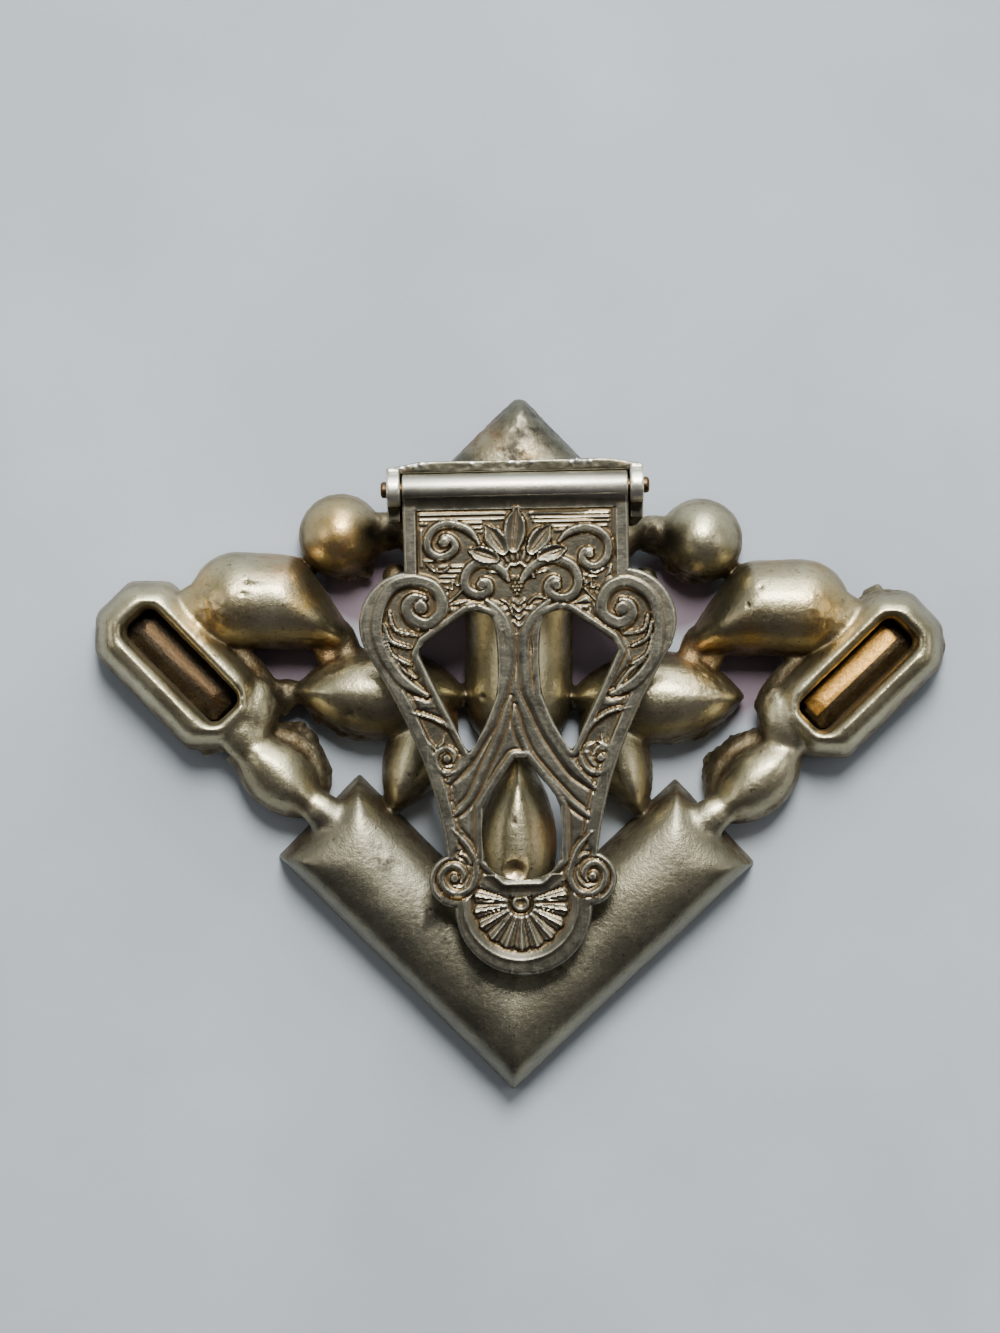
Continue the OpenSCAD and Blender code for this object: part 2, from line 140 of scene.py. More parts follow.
def directions(obj):
    out = np.empty(len(obj.data.vertices) * 3, np.float32)
    obj.data.vertices.foreach_get("normal", out)
    return out.reshape(-1, 3).astype(float)


def move_to(obj, co):
    obj.data.vertices.foreach_set("co", np.asarray(co, np.float32).ravel())
    obj.data.update()


def triangles(obj):
    return sum(len(face.vertices) - 2 for face in obj.data.polygons)


def share(x):
    return np.clip(x, 0, 1)


def step(x, low, high):
    """0 below low, 1 above high, and a soft rise between them."""
    t = share((x - low) / (high - low))
    return t * t * (3 - 2 * t)


# %% [markdown]
# ## The cups
#
# Each cup is a tapered wall that ends in a round dome, so it can be drawn as one outline
# that is pulled upwards ring by ring: a circle primitive is moved onto the outline, then
# extruded and scaled. The outlines are circles, pointed ovals (navettes), octagons
# (baguettes), a teardrop and a bar. They are the same sizes as in the CAD source.

# %% Outlines
RIM_Z, BAND, SHOULDER_Z, FLARE, DOME_SINK = 0.9, 0.3, 3.8, 0.95, 0.35
CORNER = 0.59  # what a 45 degree corner loses for each mm that its outline moves in
BAR_L, BAR_W, BAR_BEND, BAR_TOP = 4.9, 4.05, 3.7, 12.0
UPPER_R, UPPER_LEAN, UPPER_END, UPPER_PIVOT = 3.7, 29, -6.0, 2.65


def circle(r, n=48):
    return [(r * math.cos(2 * math.pi * i / n), r * math.sin(2 * math.pi * i / n)) for i in range(n)]


def navette(l, w, inset=0.0, n=24):
    """A pointed oval: two arcs of one large circle."""
    big = (l * l + w * w) / (2 * w)
    d, r = big - w, big - inset
    a = math.acos(d / r)
    top = [(r * math.sin(a - 2 * a * i / n), r * math.cos(a - 2 * a * i / n) - d) for i in range(n)]
    return top + [(-x, -y) for x, y in top]


def octagon(l, w, cut, inset=0.0):
    x, y = l - inset, w - inset
    c = min(cut - inset * CORNER, y * 0.9)
    top = [(x, y - c), (x - c, y), (c - x, y), (-x, y - c)]
    return top + [(-u, -v) for u, v in top]


def bar(inset, top, n=14):
    """Straight sides, and below them half a navette."""
    big = (BAR_L * BAR_L + BAR_W * BAR_W) / (2 * BAR_W)
    d, r = big - BAR_W, big - inset
    a = math.acos(d / r)
    left = [(d - r * math.cos(a * i / n), BAR_BEND - r * math.sin(a * i / n)) for i in range(n + 1)]
    return [(inset - BAR_W, top)] + left + [(-x, y) for x, y in left[-2::-1]] + [(BAR_W - inset, top)]


def eased(points, r):
    """The same outline with each corner cut back by r, or by a third of a short edge."""
    out = []
    for i, (x, y) in enumerate(points):
        for u, v in (points[i - 1], points[(i + 1) % len(points)]):
            t = min(r / (math.hypot(u - x, v - y) + 1e-9), 0.33)
            out.append((x + (u - x) * t, y + (v - y) * t))
    return out


def teardrop(inset, n=16):
    """Round at its outer end; its inner end is cut by a slanted line and its corners are eased."""
    r, slope = UPPER_R - inset, math.tan(math.radians(UPPER_LEAN))
    x = UPPER_END + (inset + 0.1) / math.cos(math.radians(UPPER_LEAN))
    turns = [math.pi * (i / n - 0.5) for i in range(n + 1)]
    high, low, ease = x + (r - UPPER_PIVOT) * slope, x + (-r - UPPER_PIVOT) * slope, 0.5 * r
    corners = [(high + ease, r), (high + 0.15 * ease, r - 0.3 * ease), (low + 0.1, -r + 0.5),
               (low + ease, -r)]
    return [(r * math.cos(a), r * math.sin(a)) for a in turns] + eased(corners, 0.8)[1:-1]


# %% Pull an outline upwards
def pull_up(name, rings):
    """rings: (height, outline) from the lowest up, all with the same number of points."""
    only()
    z, outline = rings[0]
    bpy.ops.mesh.primitive_circle_add(vertices=len(outline), radius=1, fill_type="NGON")
    piece = bpy.context.object
    piece.name = name
    for vertex, (x, y) in zip(piece.data.vertices, outline):
        vertex.co = (x, y, z)
    for z, outline in rings[1:]:
        bpy.ops.object.mode_set(mode="EDIT")
        bpy.ops.mesh.extrude_region_move(TRANSFORM_OT_translate={"value": (0, 0, 0.01)})
        bpy.ops.object.mode_set(mode="OBJECT")
        for vertex, (x, y) in zip([v for v in piece.data.vertices if v.select], outline):
            vertex.co = (x, y, z)
    outward(piece)
    return piece


def ringed(name, rings, outline_at):
    """rings: (height, inset); outline_at gives the outline for an inset."""
    return pull_up(name, [(z, outline_at(inset)) for z, inset in rings])


def wall_and_dome(outline_at, half_width, z0=SHOULDER_Z - DOME_SINK, steps=14, roundness=2.1):
    """Rings of a wall that leans in more and more and closes as a dome."""
    low, high = RIM_Z + BAND, z0 + half_width - FLARE
    rings = [(RIM_Z, outline_at(-0.06)), (low, outline_at(0.0))]
    for i in range(1, steps):
        u = math.sin(math.pi / 2 * i / steps)
        inset = half_width * (1 - math.sqrt(1 - u ** roundness))
        rings.append((low + (high - low) * u, outline_at(inset)))
    return rings


print("a dome 3 mm wide each way is", round(wall_and_dome(circle, 3)[-1][0], 2), "mm high")

# %% [markdown]
# ### Domes and walls
#
# A dome's ring at height h is the outline moved in by as much as a circle falls away at
# that height. For a pointed oval this gives a keel that runs out to both tips, as the
# real cups have. The ties are lumps of metal that run between neighbouring cups.

# %% Make the cups
ROUND_AT, ROUND_R, UPPER_AT = (13.6, 15.55), 3.2, (21.3, 10.55)
BAGUETTE_AT, BAGUETTE = (25.7, 5.6), (7.2, 4.0, 2.2)
WINDOW_AT, WINDOW = (25.3, 5.6), (4.95, 1.45, 0.45)
SQUARE_AT = (-0.25, 16.05, 0)
# Each navette cup: its two tips and its half width
NAVETTES = {"middle": ((17.1, 3.8), (3.7, 3.6), 3.5), "side": ((21.3, 0.5), (14.7, -5.5), 2.75),
            "lower": ((5.3, 4.4), (9.5, -5.4), 2.5), "centre": ((0, -0.5), (0, -14.8), 3.05)}
SIDE_WALL_SHIFT = (-0.62, 0.68)
# Each tie: its two ends, its radius and its height
TIES = {
    "both": [((9.3, 16.0), (11.6, 15.7), 1.25, 2.2), ((13.4, 8.4), (12.7, 5.4), 0.9, 2.3),
             ((21.8, 7.2), (18.4, 3.4), 0.8, 2.3), ((9.4, 12.6), (8.6, 11.0), 1.0, 2.3),
             ((19.9, 3.3), (20.4, 0.9), 1.7, 2.8), ((15.3, -4.7), (13.3, -6.2), 1.2, 3.4),
             ((24.4, 9.6), (22.6, 9.2), 2.0, 2.6), ((14.8, 7.3), (14.3, 5.9), 0.7, 2.3)],
    "left": [((22.2, 2.4), (19.7, -1.0), 1.4, 3.3), ((19.2, 3.2), (16.8, 3.7), 0.95, 2.0),
             ((23.3, -0.7), (23.9, -0.4), 0.45, 1.4)],
    "right": [((31.8, 7.5), (31.6, 8.4), 0.45, 1.5)],
}


def spine(cup):
    """Half the length of a navette cup, its middle and its turn."""
    (x0, y0), (x1, y1), _ = cup
    turn = math.degrees(math.atan2(y1 - y0, x1 - x0))
    return math.hypot(x1 - x0, y1 - y0) / 2, ((x0 + x1) / 2, (y0 + y1) / 2), turn


def navette_cup(name):
    l, at, turn = spine(NAVETTES[name])
    w = NAVETTES[name][2]
    return place(pull_up(name + " cup", wall_and_dome(lambda inset: navette(l, w, inset), w)), (*at, 0), turn)


def round_cup(name):
    return place(pull_up(name, wall_and_dome(lambda inset: circle(ROUND_R - inset), ROUND_R)), (*ROUND_AT, 0))


def upper_cup(name):
    return place(pull_up(name, wall_and_dome(teardrop, UPPER_R)), (*UPPER_AT, 0))


def bar_cup(name):
    rings = wall_and_dome(lambda inset: bar(inset, BAR_TOP), BAR_W, z0=SHOULDER_Z - 3 * DOME_SINK)
    return pull_up(name, rings)


def baguette_cup(name):
    rings = [(RIM_Z, -0.06), (RIM_Z + BAND, 0), (2.8, 0.2), (3.8, 0.45), (4.6, 0.75), (5.15, 1.1),
             (5.5, 1.6), (5.65, 2.2)]
    return place(ringed(name, rings, lambda k: eased(octagon(*BAGUETTE, k), 0.3)), (*BAGUETTE_AT, 0), 45)


def window(name):
    """What is sunk into a baguette cup from its back; its rings widen towards the rim."""
    l, w, cut = WINDOW
    rings = [(2.0, 0.0), (4.3, 0.04), (4.9, 0.15), (5.3, 0.35), (5.55, 0.65), (6.5, 1.1)]
    hole = ringed(name, rings, lambda k: octagon(l + k, w + k, cut + CORNER * k))
    return place(hole, (*WINDOW_AT, 0), 45)


def square_cup(name):
    rings = [(RIM_Z, 10.46), (RIM_Z + BAND, 10.4), (2.8, 10.1), (3.7, 9.75), (4.3, 9.2), (4.7, 8.5),
             (5.0, 7.6), (5.2, 6.4), (5.35, 5.2)]
    return place(ringed(name, rings, lambda d: eased(square(d), 0.5)), SQUARE_AT)


def square(d):
    return [(d, 0), (0, d), (-d, 0), (0, -d)]


def side_wall(name):
    """The side cups' walls stand out beyond their domes on the inner side."""
    l, (x, y), turn = spine(NAVETTES["side"])
    w = NAVETTES["side"][2]
    rings = [(RIM_Z, -0.05), (RIM_Z + BAND, 0.0), (2.3, 0.12), (2.9, 0.5)]
    wall = ringed(name, rings, lambda k: navette(l - 0.4, w, k))
    return place(wall, (x + SIDE_WALL_SHIFT[0], y + SIDE_WALL_SHIFT[1], 0), turn)


def tie(name, a, b, r, z):
    """A lump of metal between two cups: a stretched ball."""
    only()
    bpy.ops.mesh.primitive_uv_sphere_add(segments=24, ring_count=12, radius=1)
    lump = bpy.context.object
    lump.name = name
    l, at, turn = spine((a, b, r))
    lump.scale = (l + r, r * 1.25, r * 1.15)
    return place(lump, (*at, z), turn)


# %% [markdown]
# ### The chevron
#
# The chevron bar is solid: steep walls, full round shoulders and a low broad crown. It is
# drawn like the cups, as its own outline moved in and up ring by ring. The far ends of
# its arms lean more than its sides.

# %% Outline and rings of the chevron
ARM_W, ARM_L, ARM_ANGLE, TIP_Y = 8.85, 25.2, 44, -26.28
END_LEAN, NOTCH_LEAN = 1.3, 1.25


def chevron(inset):
    """Six corners: the tip, the outer and inner corner of one end, the notch, the other end."""
    c, s = math.cos(math.radians(ARM_ANGLE)), math.sin(math.radians(ARM_ANGLE))
    far, deep = ARM_L - END_LEAN * inset, ARM_W - NOTCH_LEAN * inset
    right = [(far * c - side * s, TIP_Y + far * s + side * c) for side in (inset, deep)]
    return [(0, TIP_Y + inset / c)] + right + [(0, TIP_Y + deep / c)] + [(-x, y) for x, y in right[::-1]]


def chevron_bar(name):
    rings = [(0, 0), (0.6, 0.03), (2.0, 0.2), (3.2, 0.42), (4.1, 0.7), (4.7, 1.05), (5.1, 1.5),
             (5.4, 2.1), (5.6, 2.8), (5.72, 3.6)]
    return ringed(name, rings, chevron)


# %% [markdown]
# ### Both sides
#
# Most of the casting is the same left and right, so the right side is made and copied
# across. A copy with its X turned round is inside out, so its faces are flipped back.

# %% Join the parts of the casting
def mirrored(name, piece):
    only(piece)
    bpy.ops.object.duplicate()
    other = bpy.context.object
    other.name = name
    move_to(other, places_of(other) * (-1, 1, 1))
    other.data.flip_normals()
    return other


def on_both_sides(pieces):
    return [p for piece in pieces for p in (piece, mirrored(piece.name + " left", piece))]


parts = [square_cup("square cup"), bar_cup("bar cup"), navette_cup("centre"), chevron_bar("chevron")]
parts += on_both_sides([round_cup("round cup"), upper_cup("upper cup"), baguette_cup("baguette cup"),
                        navette_cup("middle"), navette_cup("side"), navette_cup("lower")])
parts += on_both_sides([side_wall("side wall")])
for sides, shapes in TIES.items():
    for shape in shapes:
        lump = tie("tie", *shape)
        if sides != "right":
            parts.append(mirrored("tie left", lump))
        if sides == "left":
            bpy.data.objects.remove(lump)
        else:
            parts.append(lump)
print("parts of the casting", len(parts))
casting = join("casting", parts)

# %% [markdown]
# ### One skin
#
# In the real casting the cups run into each other with small fillets, where the wax of
# the pattern was joined. A voxel remesh does the same: it lays one closed skin over all
# the parts. The two baguette cups are open at the back, so a window is sunk into each
# before a second skin is laid. Rounds of smoothing then melt the joints and ease the
# edges, and many more rounds take the keels off the domes.

# %% Remesh and melt the joints
VOXEL = 0.17
apply_modifier(casting, "REMESH", mode="VOXEL", voxel_size=VOXEL)
hole = window("window")
for piece in (mirrored("window left", hole), hole):
    carve(casting, piece)
apply_modifier(casting, "REMESH", mode="VOXEL", voxel_size=VOXEL)
apply_modifier(casting, "SMOOTH", factor=0.5, iterations=6)
x, y, z = places_of(casting).T
along = (np.abs(x) - BAGUETTE_AT[0] + y - BAGUETTE_AT[1]) / math.sqrt(2)
across = (y - BAGUETTE_AT[1] - np.abs(x) + BAGUETTE_AT[0]) / math.sqrt(2)
framed = ((np.abs(along) < BAGUETTE[0]) & (np.abs(across) < 3.9)) | (y > 19)
melting = [("edges", (z > 2.4) & ~framed, 10), ("domes", (z > 3.2) & ~framed, 36),
           ("frames", (z > 3.6) & framed, 20)]
for name, where, rounds in melting:
    group = casting.vertex_groups.new(name=name)
    group.add(np.flatnonzero(where).tolist(), 1.0, "REPLACE")
    apply_modifier(casting, "SMOOTH", factor=0.5, iterations=rounds, vertex_group=name)
print("points in the skin", len(casting.data.vertices))

# %% [markdown]
# ### Rough walls, flash and pits
#
# The domes came out of the mould smooth and were polished. The walls between them were
# not: they are grainy, and a thin ragged flash runs along the rims. There are pits on a
# few crests, and blobs where joints were filled. All of this is geometry, so it catches
# the light. It is moved by noise whose grain is given in millimetres.

# %% Shape the flaws
# Pits: x, y, radius and depth. Lumpy and ragged places: x, y and radius
PITS = [(-20.4, 11.9, 0.26, 0.2), (-20.6, 11.0, 0.22, 0.15), (17.9, 12.0, 0.2, 0.15),
        (17.0, 10.7, 0.24, 0.2), (-2.7, 3.5, 0.24, 0.2), (-0.2, -5.8, 0.2, 0.2),
        (-0.5, 23.5, 0.3, 0.12), (-0.1, -9.4, 0.95, 0.45)]
LUMPY = [(-23.2, 9.4, 2.2), (22.8, 10.0, 2.4), (-9.9, 14.1, 1.3), (-14.9, 6.0, 2.2), (14.3, 5.9, 2.8),
         (0.0, 24.0, 2.6), (-9.4, 18.5, 1.6), (9.6, 15.0, 1.6), (-10.2, 16.0, 1.4), (-17.8, 3.1, 1.4),
         (19.0, 4.2, 1.4)]
RAGGED = [(-15.6, -0.4, 2.6), (15.6, -0.4, 2.6), (-12.3, 2.0, 2.0), (12.3, 2.0, 2.0), (-12.0, 12.8, 1.5),
          (12.0, 12.8, 1.5), (-22.3, -0.6, 1.6), (27.0, 11.9, 1.5), (-16.2, 9.0, 1.8), (16.2, 9.0, 1.8),
          (-18.3, 2.6, 1.2), (18.3, 2.6, 1.2), (7.4, -0.5, 1.4), (-7.4, -0.5, 1.4)]
WAVE, WAVE_SIZE, ROUGH_WALL, ROUGH_LUMP, ROUGH_SIZE = 0.035, 3.0, 0.055, 0.07, 0.7
FLASH_Z, FLASH_HIGH, FLASH_OUT, FLASH_SIZE = 1.5, 1.3, 0.7, 1.1
WORN_TOPS = {-1: 6.15, 1: 5.85}  # the height above which each ball is worn flatter
ARM_X, ARM_Y, ARM_END = 0.719, 0.695, 25.8  # the arms' direction, and where the chevron ends
NOTCH_SLOPE, NOTCH_Y = 0.966, -13.1


def grain(co, size, seed, octaves=1):
    """Noise from -1 to 1 at each point, with grains about size mm apart."""
    shift = Vector((seed * 17.3, seed * 5.1, seed * 9.7))
    if octaves == 1:
        return np.array([noise.noise(Vector(p) / size + shift) for p in co.tolist()])
    return np.array([noise.fractal(Vector(p) / size + shift, 0.8, 2.0, octaves) for p in co.tolist()])


def spots(co, where):
    """The strongest of several soft round spots (x, y, radius) at each point."""
    best = np.zeros(len(co))
    for x, y, r in where:
        best = np.maximum(best, np.exp(-((co[:, 0] - x) ** 2 + (co[:, 1] - y) ** 2) / (0.7 * r * r)))
    return best


def up_the_arm(co):
    return np.abs(co[:, 0]) * ARM_X + (co[:, 1] - TIP_Y) * ARM_Y


def on_chevron(co):
    """1 on the chevron bar, 0 on the cups that touch it."""
    below_cups = share(np.abs(co[:, 0]) * NOTCH_SLOPE + NOTCH_Y - co[:, 1])
    return below_cups * share((ARM_END - up_the_arm(co)) / 0.6)


def weather(obj):
    co, out = places_of(obj), directions(obj)
    x, y, z = co.T
    level, chevron = np.abs(out[:, 2]), on_chevron(co)
    wall = share(1.25 - level * 1.6) * (z > 0.2) * share((5.2 - z) / 1.2)
    ragged = share(spots(co, RAGGED) * 2)
    rough = ROUGH_WALL * wall * (1 - 0.8 * chevron) * (0.6 + ragged) + ROUGH_LUMP * spots(co, LUMPY)
    push = WAVE * grain(co, WAVE_SIZE, 1) + rough * grain(co, ROUGH_SIZE, 2, 3)
    flash = share(1 - np.abs(z - FLASH_Z) / FLASH_HIGH) * share(1 - level) * (1 - chevron)
    push += flash * ragged * (share(grain(co, FLASH_SIZE, 3, 2) + 0.2) * FLASH_OUT + 0.12)
    for pit_x, pit_y, r, deep in PITS:
        away = np.hypot(x - pit_x, y - pit_y) / r
        push -= deep * share(1 - away ** 2) ** 1.5 * (out[:, 2] > 0.1)
    co += out * push[:, None]
    for side, top in WORN_TOPS.items():
        ball = np.hypot(x - side * ROUND_AT[0], y - ROUND_AT[1]) < 2.6
        z -= 0.7 * ball * (out[:, 2] > 0.3) * np.clip(z - top, 0, None)
    move_to(obj, co)
    print("pushed out by up to", round(push.max(), 2), "mm, in by up to", round(-push.min(), 2))


weather(casting)

# %% [markdown]
# ### Seats and windows
#
# On the front each cup has a seat for its stone. They are drawn like the cups, upwards
# from the rim, and cut away one by one. In the two baguette cups the seat meets the well
# that was sunk from the back before the skin was laid: there the foil of the stone shows
# through a window with a soft round edge.

# %% Cut the seats
POCKET_Z, POCKET_WALL, POCKET_LEAN, POCKET_LIP = 2.9, 0.5, 0.2, 0.12
LOWER_SEAT = ((6.3, 1.9), (9.5, -5.4), 2.3)
SQUARE_SEAT_AT, SQUARE_SEAT, BAR_SEAT_TOP = (0, 16.0), 10.3, 5.0
MOST_TRIANGLES = 185000


def seat(name, outline_at, at=(0, 0), turn=0):
    rings = [(0.0, POCKET_WALL - POCKET_LIP), (POCKET_Z, POCKET_WALL + (FLARE + POCKET_LEAN))]
    return place(ringed(name, rings, outline_at), (*at, 0), turn)


def navette_seat(name, cup):
    l, at, turn = spine(cup)
    return seat(name, lambda k: navette(l, cup[2], k), at, turn)


seats = [seat("square seat", lambda k: square(SQUARE_SEAT - 1.45 * k), SQUARE_SEAT_AT),
         seat("bar seat", lambda k: bar(k, BAR_SEAT_TOP)), navette_seat("centre seat", NAVETTES["centre"])]
seats += on_both_sides([
    seat("round seat", lambda k: circle(ROUND_R - k), ROUND_AT), seat("upper seat", teardrop, UPPER_AT),
    seat("baguette seat", lambda k: octagon(*BAGUETTE, k), BAGUETTE_AT, 45),
    navette_seat("middle seat", NAVETTES["middle"]), navette_seat("side seat", NAVETTES["side"]),
    navette_seat("lower seat", LOWER_SEAT)])
for piece in seats:
    carve(casting, piece)
before = triangles(casting)
apply_modifier(casting, "DECIMATE", ratio=min(1, MOST_TRIANGLES / before))
print("casting", before, "->", triangles(casting), "triangles")

# %% [markdown]
# ## The bracket
#
# The hinge is a separate strip of sheet metal: a base, a low flange that stops the lever,
# and two ears folded up round the pin. It is soldered on, a little askew, so it is made
# about its own axis and then turned. Flecks of solder sit on the flange, and a lump of it
# lies at each front corner of the base.

# %% Make the bracket
HINGE_AT, HINGE_LEAN, BORE_R = (-0.5, 19.1, 7.9), 1.95, 0.70
STRIP = {"base": ((-9.5, -2.4, -2.7), (9.5, 1.9, -1.75)), "flange": ((-9.4, 1.18, -2.7), (9.4, 2.05, -0.1))}
EAR_FROM, EAR_TO, EAR_R = 8.5, 9.5, 1.3
FLANGE_BOW, CLEAR_OF_PIN = 0.35, 1.35
# Solder: x, y, z and radius
FLECKS = [(-9.15, 1.60, -0.15, 0.19), (-8.75, 1.80, -0.14, 0.14), (-8.3, 1.65, -0.14, 0.12),
          (-7.9, 1.85, -0.13, 0.15), (-7.4, 1.75, -0.13, 0.11), (-6.9, 1.9, -0.12, 0.12),
          (-3.2, 1.9, -0.12, 0.10), (-0.3, 1.9, -0.12, 0.11), (0.2, 1.8, -0.12, 0.09),
          (1.2, 1.9, -0.12, 0.13), (4.2, 1.85, -0.12, 0.11), (4.6, 1.95, -0.13, 0.15),
          (5.1, 1.8, -0.12, 0.10), (5.6, 1.9, -0.12, 0.12)]
LUMPS = [(-8.4, -2.2, -2.2, 0.7), (8.6, -2.2, -2.3, 0.8)]


def block(name, low, high):
    only()
    bpy.ops.mesh.primitive_cube_add(size=1)
    cube = bpy.context.object
    cube.name = name
    cube.scale = [b - a for a, b in zip(low, high)]
    return place(cube, [(a + b) / 2 for a, b in zip(low, high)])


def rod(name, x0, x1, r, sides=48):
    """A round bar along X."""
    only()
    bpy.ops.mesh.primitive_cylinder_add(vertices=sides, radius=r, depth=x1 - x0)
    made = bpy.context.object
    made.name = name
    bpy.ops.object.mode_set(mode="EDIT")
    bpy.ops.mesh.select_all(action="SELECT")
    bpy.ops.transform.rotate(value=math.radians(90), orient_axis="Y", center_override=(0, 0, 0))
    bpy.ops.object.mode_set(mode="OBJECT")
    return place(made, ((x0 + x1) / 2, 0, 0))


def at_hinge(obj):
    return place(obj, HINGE_AT, HINGE_LEAN)


strips = [block(name, *corners) for name, corners in STRIP.items()]
for side in (-1, 1):
    x0, x1 = sorted((side * EAR_FROM, side * EAR_TO))
    strips += [rod("ear", x0, x1, EAR_R), block("ear foot", (x0, -1.2, -2.6), (x1, 1.8, 0.2)),
               block("ear root", (x0, -2.4, -2.7), (x1, 1.9, -1.1))]
for x, y, z, r in FLECKS + LUMPS:
    only()
    bpy.ops.mesh.primitive_uv_sphere_add(segments=16, ring_count=8, radius=r, location=(x, y, z))
    strips.append(place(bpy.context.object, bpy.context.object.location.copy()))
bracket = join("bracket", strips)
apply_modifier(bracket, "REMESH", mode="VOXEL", voxel_size=0.11)
apply_modifier(bracket, "SMOOTH", factor=0.5, iterations=4)

# %% Bow its flange and roughen it
co, out = places_of(bracket), directions(bracket)
co[:, 1] -= FLANGE_BOW * step(np.abs(co[:, 0]), 6.5, 9.5) * (co[:, 1] > 1.6)
clear = np.hypot(co[:, 1], co[:, 2]) > CLEAR_OF_PIN
uneven = 0.04 * grain(co, 1.6, 4) + 0.02 * grain(co, 0.4, 5)
move_to(bracket, co + out * (clear * uneven)[:, None])
carve(bracket, rod("bore", -12, 12, BORE_R))
at_hinge(bracket)
print("bracket", triangles(bracket), "triangles")

# %% [markdown]
# ## The stamped lever
#
# The lever is sheet brass, nickel plated, pressed between two dies: scrolls, a palmette,
# a lyre of ribs and a shell stand up from it, and fine grooves outline them. Such relief
# is drawn like a die is cut. A fine grid is the blank; curves in the lever's own frame
# (hinge at the origin, millimetres) raise ridges on it, and it is then stamped out along
# its outline. No chain of extrusions would give these soft crossing ridges.

